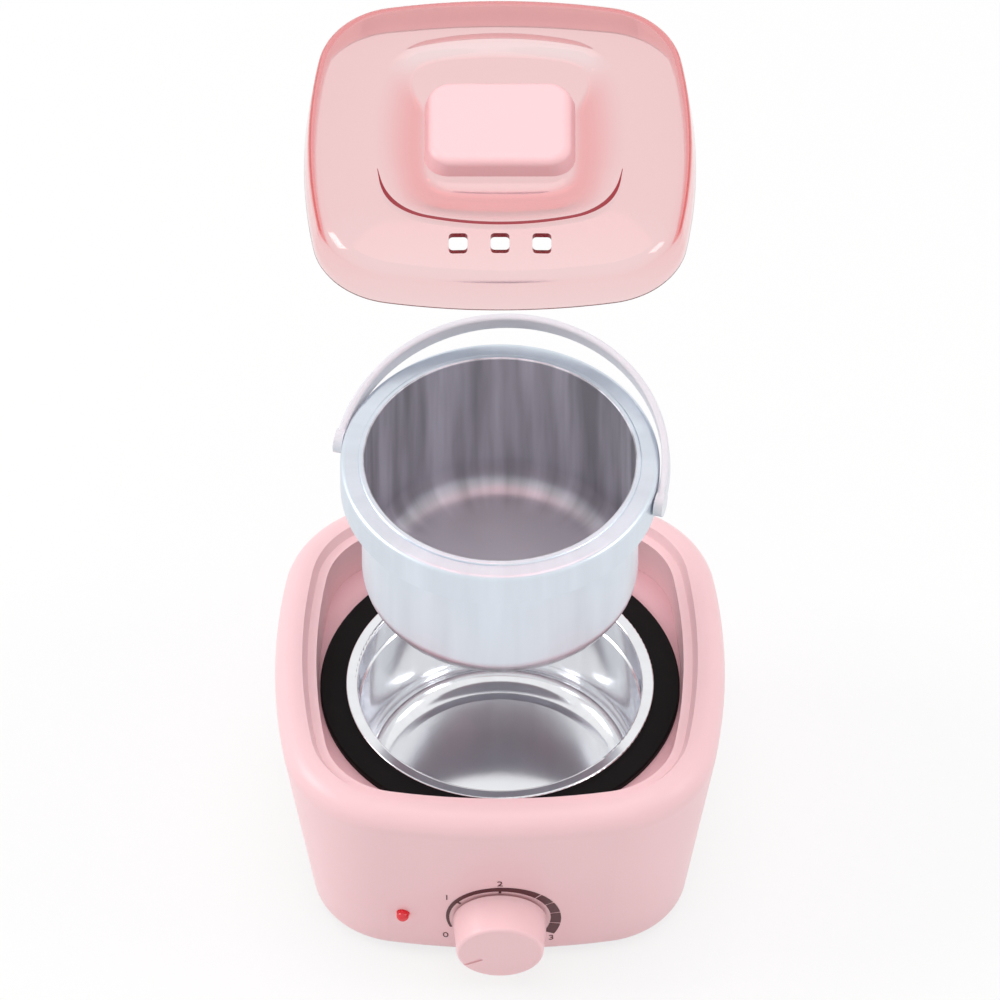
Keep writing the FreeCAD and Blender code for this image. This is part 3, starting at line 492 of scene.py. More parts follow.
class Palette:
    """Finishes of the warmer by the record's material slots."""

    HOUSING = Moulded("housing_pink", tint(250, 208, 212), roughness=0.33, uneven=0.04, softness=0.05)
    KNOB = Moulded("knob_pink", tint(250, 208, 212), roughness=0.30, uneven=0.04, softness=0.05)
    GRIP = Moulded("grip_pink", tint(247, 198, 202), roughness=0.4, uneven=0.04, softness=0.05)
    COVER = Moulded("cover_pink", tint(240, 192, 199), roughness=0.5, uneven=0.05, depth=0.05 * MM,
                    fine_scale=1500.0)
    RING = Moulded("ring_black", tint(12, 8, 9), roughness=0.6, uneven=0.08, shade=1.4, depth=0.04 * MM,
                   fine_scale=1400.0, sheen=0.15)
    BAIL = Moulded("bail_white", tint(226, 230, 237), roughness=0.30, uneven=0.04)
    RUBBER = Moulded("rubber", tint(38, 36, 37), roughness=0.75, uneven=0.06, depth=0.05 * MM)
    GLAND = Moulded("gland_black", tint(26, 24, 25), roughness=0.45, uneven=0.06)
    PHENOLIC = Moulded("phenolic", tint(46, 40, 38), roughness=0.4, uneven=0.08)
    CERAMIC = Moulded("ceramic", tint(236, 232, 222), roughness=0.25, uneven=0.05)
    MICA = Moulded("mica", tint(188, 176, 150), roughness=0.4, uneven=0.1, shade=0.8, broad_scale=90.0)
    PRINT = Moulded("dial_print", tint(88, 36, 42), roughness=0.45, uneven=0.04, shade=0.85)
    # The red lens carries a faint painted glow that brightens its red; it is not lit.
    LENS = Moulded("lens_red", tint(196, 6, 26), roughness=0.05, uneven=0.02, softness=0.3, sheen=0.8,
                   glow=0.35)
    # Painted shade: opaque deep red on the dish's front lip and the vent walls stands in for the deep red
    # that light running along the clear wall shows at its edges.
    PAINTED_EDGE_SHADE = Moulded("lid_painted_edge_shade", tint(146, 22, 38), roughness=0.12, uneven=0.03, depth=0.002 * MM)
    LID = Tinted("lid_clear_pink", absorbed=(0.95, 0.095, 0.112), density=225.0)
    POT = Turned("pot_satin", tint(222, 230, 239), roughness=0.30, ring_density=1500.0,
                 ring_depth=0.006 * MM, streak_density=5.0, inside_radius=51.9 * MM,
                 inside_colour=tint(218, 220, 229), inside_shade=0.5)
    CHAMBER = Turned("chamber_polished", tint(238, 239, 242), roughness=0.1, ring_density=500.0,
                     ring_depth=0.006 * MM, streak_density=7.0, streak_shade=0.94)
    STEEL = Turned("steel", tint(186, 188, 192), roughness=0.32)
    BRASS = Turned("brass", tint(205, 170, 95), roughness=0.3)
    COPPER = Turned("copper", tint(200, 130, 95), roughness=0.3)

    @classmethod
    def every(cls) -> Materials:
        """Makes each finish once and gives the materials by slot name."""
        finishes = [value for value in vars(cls).values() if hasattr(value, "build")]
        return {finish.name: finish.build() for finish in finishes}


def placed(name: str, data: Any) -> bpy.types.Object:
    """Makes an object and links it into the scene.

    Args:
        name: Name of the object.
        data: Its mesh, text, lamp or camera.

    Returns:
        The object, at the origin.
    """
    made = bpy.data.objects.new(name, data)
    bpy.context.scene.collection.objects.link(made)
    return made


def faced(name: str, points: Iterable[Iterable[float]], faces: Iterable[Iterable[int]]) -> bpy.types.Mesh:
    """Makes a mesh.

    Args:
        name: Name of the mesh.
        points: Its corners.
        faces: Numbers of the corners of each face.

    Returns:
        The mesh.
    """
    mesh = bpy.data.meshes.new(name)
    mesh.from_pydata(points, [], faces)
    return mesh


def fixed_mesh(holder: bpy.types.Object, name: str) -> bpy.types.Object:
    """Turns an object's evaluated shape into a plain mesh object and removes the holder.

    Args:
        holder: Object with live modifiers, or a text or curve object.
        name: Name of the result.

    Returns:
        Mesh object at the origin.
    """
    bpy.context.view_layer.update()
    graph = bpy.context.evaluated_depsgraph_get()
    mesh = bpy.data.meshes.new_from_object(holder.evaluated_get(graph), depsgraph=graph)
    mesh.transform(holder.matrix_world)
    mesh.name = name
    bpy.data.objects.remove(holder)
    return placed(name, mesh)


def thickened(piece: bpy.types.Object, thickness: float) -> bpy.types.Object:
    """Gives a sheet a thickness outwards.

    Args:
        piece: Mesh object.
        thickness: Thickness in metres.

    Returns:
        The closed mesh object.
    """
    solid = piece.modifiers.new("thickness", "SOLIDIFY")
    solid.thickness = thickness
    solid.offset = 1.0
    return fixed_mesh(piece, piece.name)


def at_bearing(angle: float, reach: float, level: float) -> Vector:
    """Gives the place at a level that lies a distance away along a bearing."""
    return Vector((reach * math.cos(angle), reach * math.sin(angle), level))


def eased(value: float, start: float, end: float) -> float:
    """Goes smoothly from 0 at the start to 1 at the end."""
    share = min(max((value - start) / (end - start), 0.0), 1.0)
    return share * share * (3 - 2 * share)


@dataclass
class FrontWall:
    """Cone-shaped front wall of the housing, as the printed dial sees it."""

    axis_y: float = 174.0 * MM
    height: float = 27.0 * MM
    radius: float = 251.684 * MM
    slope: float = 0.153496
    lift: float = 0.05 * MM

    def point(self, across: float, up: float) -> Vector:
        """Carries a flat place on the dial to the wall.

        Args:
            across: Distance to the right of the knob's axis.
            up: Distance up the wall from the knob's axis.

        Returns:
            The place on the wall.
        """
        z = self.height + up * math.cos(math.atan(self.slope))
        reach = self.radius + self.lift + (z - self.height) * self.slope
        return Vector((across, self.axis_y - math.sqrt(reach ** 2 - across ** 2), z))


@dataclass
class DialBands:
    """A row of bands along an arc of the dial, which may widen as they go."""

    name: str
    start: float
    sweep: float
    inner: float
    width_start: float
    width_end: float
    count: int = 1
    gap: float = 0.0

    TREE = "dial_bands"
    BAND_INPUTS = ("Start", "Sweep", "Gap", "Inner", "Width Start", "Width End")
    WALL_INPUTS = ("Axis Y", "Height", "Radius", "Slope")
    STEPS_ALONG = 28
    STEPS_ACROSS = 4
    PITCH = 2.0
    HALF_BAND = 0.5

    @classmethod
    def begin(cls) -> Graph:
        """Starts the tree with its named inputs.

        Returns:
            Graph of the tree.
        """
        tree = bpy.data.node_groups.new(cls.TREE, "GeometryNodeTree")
        tree.interface.new_socket("Geometry", in_out="OUTPUT", socket_type="NodeSocketGeometry")
        tree.interface.new_socket("Count", in_out="INPUT", socket_type="NodeSocketInt")
        for label in cls.BAND_INPUTS + cls.WALL_INPUTS:
            tree.interface.new_socket(label, in_out="INPUT", socket_type="NodeSocketFloat")
        tree.interface.new_socket("Material", in_out="INPUT", socket_type="NodeSocketMaterial")
        return Graph(tree)

    @staticmethod
    def wall_spot(graph: Graph, given: Any, across: Any, up: Any) -> bpy.types.Node:
        """Carries flat places on the dial to the wall, as the front wall's own method does.

        Args:
            graph: Graph of the tree.
            given: The tree's inputs.
            across: Distance to the right of the knob's axis.
            up: Distance up the wall from the knob's axis.

        Returns:
            The places on the wall.
        """
        lean = graph.math("COSINE", graph.math("ARCTANGENT", given["Slope"]))
        rise = graph.math("MULTIPLY", up, lean)
        cone = graph.math("MULTIPLY_ADD", rise, given["Slope"], given["Radius"])
        squares = graph.math("MULTIPLY", cone, cone), graph.math("MULTIPLY", across, across)
        depth = graph.math("SQRT", graph.math("SUBTRACT", *squares))
        y = graph.math("SUBTRACT", given["Axis Y"], depth)
        z = graph.math("ADD", given["Height"], rise)
        return graph.node("ShaderNodeCombineXYZ", {0: across, 1: y, 2: z})

    @classmethod
    def tree(cls) -> bpy.types.NodeTree:
        """Builds the geometry tree once.

        Returns:
            Tree that lays bands on the front wall.
        """
        if cls.TREE in bpy.data.node_groups:
            return bpy.data.node_groups[cls.TREE]
        graph = cls.begin()
        given = graph.node("NodeGroupInput").outputs
        band = graph.node("GeometryNodeMeshGrid", {
            "Size X": 1.0, "Size Y": 1.0, "Vertices X": cls.STEPS_ALONG, "Vertices Y": cls.STEPS_ACROSS})
        spots = graph.node("GeometryNodeMeshLine", {
            "Count": given["Count"], "Offset": (cls.PITCH, 0.0, 0.0)})
        row = graph.node("GeometryNodeInstanceOnPoints", {
            "Points": spots, "Instance": band.outputs["Mesh"]})
        real = graph.node("GeometryNodeRealizeInstances", {0: row})
        x, y, _ = graph.node("ShaderNodeSeparateXYZ", {0: graph.node("GeometryNodeInputPosition")}).outputs
        pitches = graph.math("MULTIPLY", graph.math("ADD", x, cls.PITCH / 2), 1.0 / cls.PITCH)
        index = graph.math("FLOOR", pitches)
        along = graph.math("ADD", graph.math("MULTIPLY_ADD", index, -cls.PITCH, x), cls.HALF_BAND)
        outwards = graph.math("ADD", y, cls.HALF_BAND)
        step = graph.math("ADD", given["Sweep"], given["Gap"])
        turn = graph.math("MULTIPLY_ADD", index, step, graph.math("MULTIPLY", along, given["Sweep"]))
        angle = graph.math("SUBTRACT", given["Start"], turn)
        whole = graph.math("SUBTRACT", graph.math("MULTIPLY", given["Count"], step), given["Gap"])
        growth = graph.math("SUBTRACT", given["Width End"], given["Width Start"])
        share = graph.math("DIVIDE", turn, whole)
        width = graph.math("MULTIPLY_ADD", share, growth, given["Width Start"])
        reach = graph.math("MULTIPLY_ADD", outwards, width, given["Inner"])
        across = graph.math("MULTIPLY", reach, graph.math("COSINE", angle))
        up = graph.math("MULTIPLY", reach, graph.math("SINE", angle))
        laid = graph.node("GeometryNodeSetPosition", {
            "Geometry": real, "Position": cls.wall_spot(graph, given, across, up)})
        dressed = graph.node("GeometryNodeSetMaterial", {"Geometry": laid, "Material": given["Material"]})
        graph.feed(graph.node("NodeGroupOutput").inputs[0], dressed)
        return graph.tree

    def build(self, wall: FrontWall, ink: bpy.types.Material, thickness: float) -> bpy.types.Object:
        """Makes the bands on the wall.

        Args:
            wall: Wall that they lie on.
            ink: Their material.
            thickness: Thickness of the print.

        Returns:
            Mesh object of the bands.
        """
        holder = placed(self.name, bpy.data.meshes.new(self.name))
        modifier = holder.modifiers.new("bands", "NODES")
        modifier.node_group = self.tree()
        values = {
            "Count": self.count, "Start": self.start, "Sweep": self.sweep, "Gap": self.gap,
            "Inner": self.inner, "Width Start": self.width_start, "Width End": self.width_end,
            "Axis Y": wall.axis_y, "Height": wall.height, "Radius": wall.radius + wall.lift,
            "Slope": wall.slope, "Material": ink}
        for item in modifier.node_group.interface.items_tree:
            if item.in_out == "INPUT":
                modifier[item.identifier] = values[item.name]
        return thickened(fixed_mesh(holder, self.name), thickness)


@dataclass
class HeatedBase:
    """Housing with its ring, chamber and inner pieces, and the print round the knob."""

    ink_thickness: float = 0.08 * MM
    arc_inner: float = 19.4 * MM
    arc_start: float = math.radians(200.0)
    first_break: float = math.radians(47.0)
    arc_end: float = math.radians(-30.0)
    arc_thin: float = 0.9 * MM
    arc_middle: float = 3.2 * MM
    arc_wide: float = 4.4 * MM
    segments: int = 4
    break_width: float = math.radians(1.6)
    number_size: float = 4.8 * MM
    number_reach: float = 24.5 * MM
    tick_length: float = 2.6 * MM
    tick_width: float = math.radians(3.0)

    NUMBERS = {"0": math.radians(212.0), "1": math.radians(146.0), "2": math.radians(90.0),
               "3": math.radians(-37.0)}
    TICKED = ("1", "2")
    NODES = {
        "housing": "housing_pink", "inner_deck": "cover_pink", "insulating_ring": "ring_black",
        "heating_chamber": "chamber_polished", "band_heater": "mica", "heater_strap": "steel",
        "strap_bolt": "steel", "strap_nut": "steel", "hold_down_bar": "steel", "hold_down_nut": "steel",
        "bar_screws": "steel", "thermostat_body": "phenolic", "thermostat_tabs": "brass",
        "thermostat_nut": "brass", "capillary_sensor": "copper", "thermal_fuse": "ceramic",
        "floor_clips": "steel", "indicator_lens": "lens_red", "indicator_holder": "phenolic",
        "terminal_block": "ceramic", "terminal_screw": "steel", "gland_body": "gland_black",
        "gland_nut": "gland_black", "bottom_cover": "cover_pink", "rubber_feet": "rubber",
        "foot_screws": "steel"}

    def print_bands(self, wall: FrontWall, ink: bpy.types.Material) -> list[bpy.types.Object]:
        """Makes the dial's widening arc, its segments and its ticks.

        Args:
            wall: Wall that they lie on.
            ink: Their material.

        Returns:
            Mesh objects of the bands.
        """
        gap = self.break_width
        sweep = (self.first_break - self.arc_end - self.segments * gap) / self.segments
        bands = [
            DialBands("dial_arc", self.arc_start, self.arc_start - self.first_break, self.arc_inner,
                      self.arc_thin, self.arc_middle),
            DialBands("dial_segments", self.first_break - gap, sweep, self.arc_inner, self.arc_middle,
                      self.arc_wide, self.segments, gap)]
        tick_inner = self.arc_inner - self.tick_length / 2
        for text in self.TICKED:
            bands.append(DialBands(f"dial_tick_{text}", self.NUMBERS[text] + self.tick_width / 2,
                                   self.tick_width, tick_inner, self.tick_length, self.tick_length))
        return [band.build(wall, ink, self.ink_thickness) for band in bands]

    def print_numbers(self, wall: FrontWall, ink: bpy.types.Material) -> list[bpy.types.Object]:
        """Makes the numbers round the dial.

        Args:
            wall: Wall that they lie on.
            ink: Their material.

        Returns:
            Mesh objects of the numbers.
        """
        pieces = []
        for text, angle in self.NUMBERS.items():
            curve = bpy.data.curves.new(f"dial_number_{text}", "FONT")
            curve.body = text
            curve.size = self.number_size
            curve.align_x = "CENTER"
            curve.align_y = "CENTER"
            piece = fixed_mesh(placed(curve.name, curve), curve.name)
            for vertex in piece.data.vertices:
                across = vertex.co.x + self.number_reach * math.cos(angle)
                up = vertex.co.y + self.number_reach * math.sin(angle)
                vertex.co = wall.point(across, up)
            piece.data.materials.append(ink)
            pieces.append(thickened(piece, self.ink_thickness))
        return pieces

    def build(self, finishes: Materials) -> list[bpy.types.Object]:
        """Makes the printed dial.

        Args:
            finishes: Materials by slot.

        Returns:
            The printed pieces, riding on the base.
        """
        wall = FrontWall()
        ink = finishes["dial_print"]
        pieces = self.print_bands(wall, ink) + self.print_numbers(wall, ink)
        for piece in pieces:
            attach(piece, Body.BASE.value)
        return pieces


@dataclass
class Knob:
    """Heat knob and its shaft."""

    NODES = {"control_knob": "knob_pink", "thermostat_shaft": "steel"}


@dataclass
class Pot:
    """Wax pot and its bail."""

    NODES = {"wax_pot": "pot_satin", "bail_handle": "bail_white"}


@dataclass(frozen=True)
class BulgedSquare:
    """Plan outline of eight tangent arcs, the same form as the housing's."""

    side_bend: float
    corner_inset: float

    def reach(self, angle: float, half: float) -> float:
        """Measures the outline along one bearing.

        Args:
            angle: Bearing from the X axis.
            half: Half-width of the outline at the middle of its sides.

        Returns:
            Distance from the axis to the outline.
        """
        quarter = math.pi / 2
        folded = abs((angle + quarter / 2) % quarter - quarter / 2)
        side = self.side_bend + half
        corner = half - self.corner_inset
        spacing = side - corner
        centre = (math.sqrt(2 * spacing ** 2 - self.side_bend ** 2) - self.side_bend) / 2
        joint = math.atan2(centre, centre + self.side_bend)
        if folded <= math.atan2(side * math.sin(joint), side * math.cos(joint) - self.side_bend):
            offset = self.side_bend * math.sin(folded)
            return math.sqrt(side ** 2 - offset ** 2) - self.side_bend * math.cos(folded)
        along = centre * (math.cos(folded) + math.sin(folded))
        return along + math.sqrt(corner ** 2 - 2 * centre ** 2 + along ** 2)


@dataclass
class Lid:
    """Clear lid with its opaque grip. The dish has a crisp lip in front and soft flanks at its sides."""

    rim_half: float = 73.0 * MM
    top_half: float = 71.5 * MM
    skirt: float = 19.0 * MM
    crown: float = 3.3 * MM
    wall: float = 2.2 * MM
    edge_radius: float = 8.0 * MM
    edge_start: float = math.radians(22.0)
    edge_end: float = math.radians(80.0)
    rim_round: float = 0.6 * MM
    skirt_wall: float = 2.0 * MM
    dish_half: float = 47.5 * MM
    dish_depth: float = 4.0 * MM
    lip_step: float = 1.0 * MM
    lip_width: float = 2.4 * MM
    lip_least: float = 0.1
    lip_fade_start: float = 44.0
    lip_fade_end: float = 66.0
    crease_from: float = 0.02
    ramp_power: float = 1.5
    front_flank: float = 21.0 * MM
    side_flank: float = 21.0 * MM
    back_flank: float = 8.0 * MM
    back_fade_start: float = 110.0
    back_fade_end: float = 140.0
    flank_thicker: float = 1.6 * MM
    thickest_share: float = 0.25
    vent_width: float = 7.0 * MM
    vent_corner: float = 1.5 * MM
    vent_pitch: float = 15.5 * MM
    vent_setback: float = 57.5 * MM
    crisp_angle: float = math.radians(40.0)
    bearings: int = 240
    floor_steps: int = 4
    flank_steps: int = 16
    crown_steps: int = 10
    edge_steps: int = 8
    skirt_steps: int = 4
    rim_steps: int = 6
    vent_steps: int = 4

    PLAN = BulgedSquare(174.0 * MM, 40.0 * MM)
    DISH = BulgedSquare(62.5 * MM, 23.5 * MM)
    VENTS = (-1, 0, 1)
    CORNERS = ((1, 1), (-1, 1), (-1, -1), (1, -1))
    # Slot of the painted deep-red edge shade.
    PAINTED_EDGE_SHADE = 1
    NODES = {"lid_shell": "lid_clear_pink", "lid_grip": "grip_pink", "grip_screws": "steel"}

    @staticmethod
    def turn_from_front(angle: float) -> float:
        """Gives how many degrees a bearing lies away from the front."""
        return 180.0 - abs(math.degrees(angle + math.pi / 2) % 360.0 - 180.0)

    def front_share(self, angle: float) -> float:
        """Gives how much of the front's crisp lip a bearing has."""
        return 1.0 - eased(self.turn_from_front(angle), self.lip_fade_start, self.lip_fade_end)

    def back_share(self, angle: float) -> float:
        """Gives how much of the back's short flank a bearing has."""
        return eased(self.turn_from_front(angle), self.back_fade_start, self.back_fade_end)

    def dish_line(self, angle: float, top: float, inside: bool) -> list[tuple[float, float]]:
        """Draws the dish along a bearing, from its middle to the start of the lid's top.

        Args:
            angle: Bearing from the X axis.
            top: Level of the lid's top on this face of the wall.
            inside: Whether this is the wall's inner face.

        Returns:
            Reach and level of each point.
        """
        front, back = self.front_share(angle), self.back_share(angle)
        outer = self.DISH.reach(angle, self.dish_half)
        flank = front * self.front_flank + back * self.back_flank + (1.0 - front - back) * self.side_flank
        inner = outer - flank
        floor_steps = range(1, self.floor_steps + 1)
        places = [(inner * step / self.floor_steps, top - self.dish_depth) for step in floor_steps]
        for step in range(1, self.flank_steps + 1):
            share = step / self.flank_steps
            soft = (1.0 - eased(share, 0.0, 1.0)) * self.dish_depth
            ramp = self.dish_depth + (self.lip_step - self.dish_depth) * share ** self.ramp_power
            swell = eased(share, 0.0, self.thickest_share) - eased(share, self.thickest_share, 1.0)
            below = swell * self.flank_thicker * (1.0 - back) if inside else 0.0
            places.append((inner + flank * share, top - front * ramp - (1.0 - front) * soft - below))
        lip_share = self.lip_least + (1.0 - self.lip_least) * front
        places.append((outer + self.lip_width * lip_share, top))
        return places

    def side_line(self, angle: float, rim: float, top: float, start: float,
                  inside: bool) -> list[tuple[float, float]]:
        """Draws the top, the rounded edge and the skirt along a bearing.

        Args:
            angle: Bearing from the X axis.
            rim: Level of the lid's rim.
            top: Level of the lid's top on this face of the wall.
            start: Reach at which the top starts.
            inside: Whether this is the wall's inner face.

        Returns:
            Reach and level of each point.
        """
        bend = self.edge_radius - (self.wall if inside else 0.0)
        middle = self.top_half - self.edge_radius
        level = rim + self.skirt - self.edge_radius
        edge = self.PLAN.reach(angle, middle + bend * math.sin(self.edge_start))
        edge_top = level + bend * math.cos(self.edge_start)
        places = []
        for step in range(1, self.crown_steps):
            share = step / self.crown_steps
            bulge = (top - edge_top) * (1.0 - share ** 2)
            places.append((start + (edge - start) * share, edge_top + bulge))
        for step in range(self.edge_steps + 1):
            lean = self.edge_start + (self.edge_end - self.edge_start) * step / self.edge_steps
            half = middle + bend * math.sin(lean)
            places.append((self.PLAN.reach(angle, half), level + bend * math.cos(lean)))
        last = places[-1][1]
        last_half = middle + bend * math.sin(self.edge_end)
        foot = rim + self.rim_round
        foot_half = self.rim_half - (self.skirt_wall if inside else 0.0)
        for step in range(1, self.skirt_steps + 1):
            half = last_half + (foot_half - last_half) * step / self.skirt_steps
            places.append((self.PLAN.reach(angle, half), last + (foot - last) * step / self.skirt_steps))
        return places

    def section(self, angle: float, rim: float, inside: bool) -> list[Vector]:
        """Draws one face of the wall along a bearing, from the middle of the dish to the rim.

        Args:
            angle: Bearing from the X axis.
            rim: Level of the lid's rim.
            inside: Whether this is the wall's inner face.

        Returns:
            Points from the middle outwards.
        """
        top = rim + self.skirt + self.crown - (self.wall if inside else 0.0)
        places = self.dish_line(angle, top, inside)
        start = places[-1][0]
        places += self.side_line(angle, rim, top, start, inside)
        return [at_bearing(angle, reach, level) for reach, level in places]

    def rim_turn(self, angle: float, rim: float) -> list[Vector]:
        """Draws the round edge of the rim along a bearing.

        Args:
            angle: Bearing from the X axis.
            rim: Level of the lid's rim.

        Returns:
            Points from the outer face to the inner one.
        """
        points = []
        for step in range(1, self.rim_steps):
            lean = math.pi * step / self.rim_steps
            half = self.rim_half - self.skirt_wall / 2 * (1.0 - math.cos(lean))
            level = rim + self.rim_round * (1.0 - math.sin(lean))
            points.append(at_bearing(angle, self.PLAN.reach(angle, half), level))
        return points

    def shell(self, rim: float) -> bpy.types.Object:
        """Makes the closed wall of the lid, still without its vents.

        Args:
            rim: Level of the lid's rim.

        Returns:
            Mesh object whose front lip carries the painted deep-red edge shade.
        """
        rows = []
        for bearing in range(self.bearings):
            angle = math.tau * bearing / self.bearings
            outside = self.section(angle, rim, False)
            rows.append(outside + self.rim_turn(angle, rim) + self.section(angle, rim, True)[::-1])
        size = len(rows[0])
        points = [point for row in rows for point in row]
        floor = rim + self.skirt + self.crown - self.dish_depth
        points += [Vector((0.0, 0.0, floor)), Vector((0.0, 0.0, floor - self.wall))]
        top, bottom = len(points) - 2, len(points) - 1
        faces = []
        lip_faces = []
        for bearing in range(self.bearings):
            here = bearing * size
            after = (bearing + 1) % self.bearings * size
            faces.append((top, here, after))
            faces.append((bottom, after + size - 1, here + size - 1))
            lip_faces.append(len(faces) + self.floor_steps + self.flank_steps - 1)
            for step in range(size - 1):
                faces.append((here + step, here + step + 1, after + step + 1, after + step))
        mesh = faced("clear_lid", points, faces)
        # Front lip faces get the painted deep-red edge shade.
        for bearing, face in enumerate(lip_faces):
            if self.front_share(math.tau * (bearing + 0.5) / self.bearings) > self.crease_from:
                mesh.polygons[face].material_index = self.PAINTED_EDGE_SHADE
        return placed("clear_lid", mesh)

    def vent_outline(self, number: int) -> list[tuple[float, float]]:
        """Draws the round-cornered outline of one vent.

        Args:
            number: Place of the vent, counted to the right from the middle one.

        Returns:
            Its corners in plan.
        """
        quarter = math.pi / 2
        inset = self.vent_width / 2 - self.vent_corner
        outline = []
        for corner, (right, back) in enumerate(self.CORNERS):
            for step in range(self.vent_steps + 1):
                angle = corner * quarter + step * quarter / self.vent_steps
                x = number * self.vent_pitch + inset * right + self.vent_corner * math.cos(angle)
                y = inset * back + self.vent_corner * math.sin(angle) - self.vent_setback
                outline.append((x, y))
        return outline

    def vent_cutter(self, rim: float) -> bpy.types.Object:
        """Makes the round-cornered prisms that cut the vents.

        Args:
            rim: Level of the lid's rim.

        Returns:
            Mesh object of the prisms, whose faces give the vent walls the painted deep-red edge shade.
        """
        points, faces = [], []
        low, high = rim + self.skirt / 2, rim + 2 * self.skirt
        for number in self.VENTS:
            first = len(points)
            outline = self.vent_outline(number)
            count = len(outline)
            points += [(x, y, z) for z in (low, high) for x, y in outline]
            faces.append(tuple(first + k for k in reversed(range(count))))
            faces.append(tuple(first + count + k for k in range(count)))
            for k in range(count):
                following = (k + 1) % count
                faces.append((first + k, first + following, first + count + following, first + count + k))
        mesh = faced("vent_cutter", points, faces)
        # The vent walls cut by these faces take the painted deep-red edge shade.
        for polygon in mesh.polygons:
            polygon.material_index = self.PAINTED_EDGE_SHADE
        return placed("vent_cutter", mesh)

    def build(self, finishes: Materials) -> list[bpy.types.Object]:
        """Makes the clear shell in place of the plain one.

        Args:
            finishes: Materials by slot.

        Returns:
            The shell, riding on the lid.
        """
        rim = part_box("lid_shell")[0][2]
        lid = self.shell(rim)
        cutter = self.vent_cutter(rim)
        for mesh in (lid.data, cutter.data):
            mesh.materials.append(finishes["lid_clear_pink"])
            mesh.materials.append(finishes["lid_painted_edge_shade"])
        cut = lid.modifiers.new("vents", "BOOLEAN")
        cut.operation = "DIFFERENCE"
        cut.solver = "EXACT"
        cut.object = cutter
        lid = fixed_mesh(lid, "clear_lid")
        bpy.data.objects.remove(cutter)
        lid.data.shade_smooth()
        lid.data.set_sharp_from_angle(angle=self.crisp_angle)
        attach(lid, Body.LID.value)
        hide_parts("lid_shell")
        return [lid]


def dress(nodes: dict[str, bpy.types.Object], slots: dict[str, str], finishes: Materials) -> None:
    """Gives construction nodes their finishes.

    Args:
        nodes: Objects by node name.
        slots: Slot of each node.
        finishes: Materials by slot.
    """
    for name, slot in slots.items():
        for holder in nodes[name].material_slots:
            holder.material = finishes[slot]
        LOG.info("%s wears %s", name, slot)


def seen_rays(graph: Graph) -> bpy.types.NodeSocket:
    """Tells rays that show a surface directly, in a reflection or through glass from the rest.

    Args:
        graph: Graph of the material or world.

    Returns:
        1 for such rays and 0 for the others.
    """
    path = graph.node("ShaderNodeLightPath").outputs
    shown = graph.math("MAXIMUM", path["Is Camera Ray"], path["Is Glossy Ray"])
    return graph.math("MAXIMUM", shown, path["Is Transmission Ray"])


@dataclass(frozen=True)
class SoftBox:
    """A square lamp. Glossy surfaces show it only where it is mirrored."""

    name: str
    place: Place
    size: float
    power: float
    mirrored: bool = True

    def build(self, target: Place) -> None:
        """Adds the lamp.

        Args:
            target: Place that it faces.
        """
        light = bpy.data.lights.new(self.name, "AREA")
        light.size = self.size
        light.energy = self.power
        holder = placed(self.name, light)
        holder.location = self.place
        aim = Vector(target) - Vector(self.place)
        holder.rotation_euler = aim.to_track_quat("-Z", "Y").to_euler()
        holder.visible_glossy = self.mirrored


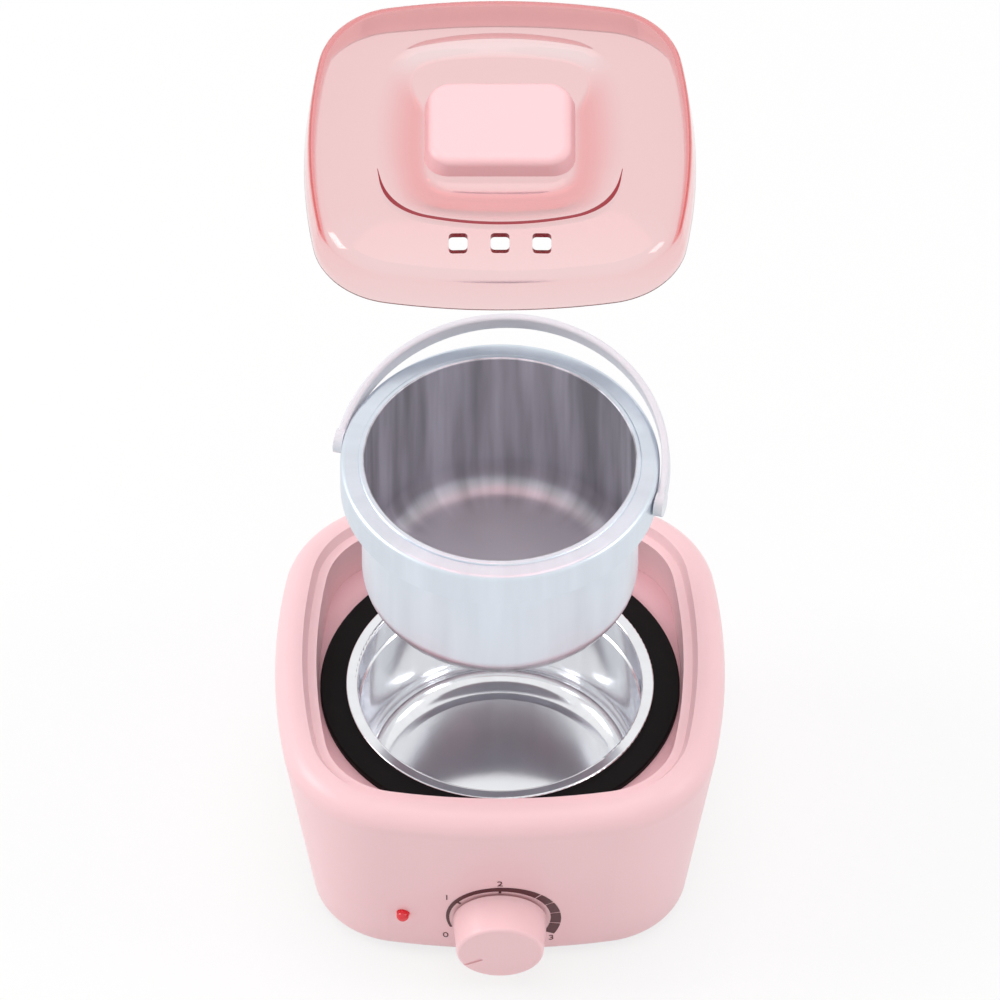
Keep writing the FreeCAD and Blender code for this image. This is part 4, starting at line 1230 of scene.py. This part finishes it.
@dataclass
class Studio:
    """Pale floor, soft light, and a camera at the photograph's angle."""

    target: Place = (0.0, 0.0, 0.1795)
    elevation: float = math.radians(48.0)
    distance: float = 8.0
    focal: float = 760.0
    far_end: float = 20.0
    floor_reach: float = 4.0
    floor_colour: Colour = (0.86, 0.86, 0.86)
    floor_roughness: float = 0.9
    floor_glow: float = 0.76
    fill: float = 0.55
    longest_path: int = 24

    LAMPS = (
        SoftBox("overhead", (0.1, 0.1, 2.6), size=2.4, power=34.0, mirrored=False),
        SoftBox("left", (-2.0, 0.1, 1.3), size=0.9, power=16.0),
        SoftBox("right", (2.0, -0.3, 1.4), size=0.7, power=7.0))

    def floor(self) -> None:
        """Lays the floor."""
        reach = self.floor_reach
        corners = [(-reach, -reach, 0.0), (reach, -reach, 0.0), (reach, reach, 0.0), (-reach, reach, 0.0)]
        floor = placed("studio_floor", faced("studio_floor", corners, [(0, 1, 2, 3)]))
        surface = Surface("studio_floor")
        surface.put(Base_Color=self.floor_colour, Roughness=self.floor_roughness)
        glow = surface.graph.node("ShaderNodeEmission", {"Color": WHITE, "Strength": 1.0})
        share = surface.graph.math("MULTIPLY", seen_rays(surface.graph), self.floor_glow)
        mixed = surface.graph.node("ShaderNodeMixShader", {0: share, 1: surface.shader, 2: glow})
        surface.graph.feed(surface.output.inputs["Surface"], mixed)
        floor.data.materials.append(surface.material)

    def world(self) -> None:
        """Sets a white surround that lights less than it shows."""
        world = bpy.data.worlds.new("studio")
        world.use_nodes = True
        bpy.context.scene.world = world
        graph = Graph(world.node_tree)
        back = next(n for n in graph.tree.nodes if n.type == "BACKGROUND")
        graph.feed(back.inputs["Color"], WHITE)
        graph.feed(back.inputs["Strength"], graph.spread(seen_rays(graph), self.fill, 1.0))

    def camera(self) -> None:
        """Places the camera in front and above."""
        data = bpy.data.cameras.new("camera")
        data.lens = self.focal
        data.clip_end = self.far_end
        holder = placed("camera", data)
        away = Vector((0.0, -math.cos(self.elevation), math.sin(self.elevation)))
        holder.location = Vector(self.target) + away * self.distance
        holder.rotation_euler = (-away).to_track_quat("-Z", "Y").to_euler()
        bpy.context.scene.camera = holder

    def build(self) -> None:
        """Sets up the whole studio."""
        bpy.context.scene.view_settings.view_transform = "Standard"
        paths = bpy.context.scene.cycles
        paths.max_bounces = self.longest_path
        paths.glossy_bounces = self.longest_path
        paths.transmission_bounces = self.longest_path
        self.floor()
        self.world()
        for lamp in self.LAMPS:
            lamp.build(self.target)
        self.camera()


def main() -> None:
    """Loads the frame, dresses it, adds the print and the clear lid, and sets the studio."""
    logging.basicConfig(level=logging.INFO, format="%(name)s: %(message)s")
    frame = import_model()
    finishes = Palette.every()
    base = HeatedBase()
    lid = Lid()
    for part in (base, Knob(), Pot(), lid):
        dress(frame["nodes"], part.NODES, finishes)
    for piece in base.build(finishes) + lid.build(finishes):
        LOG.info("%s has %d faces", piece.name, len(piece.data.polygons))
    Studio().build()


if __name__ == "__main__":
    main()
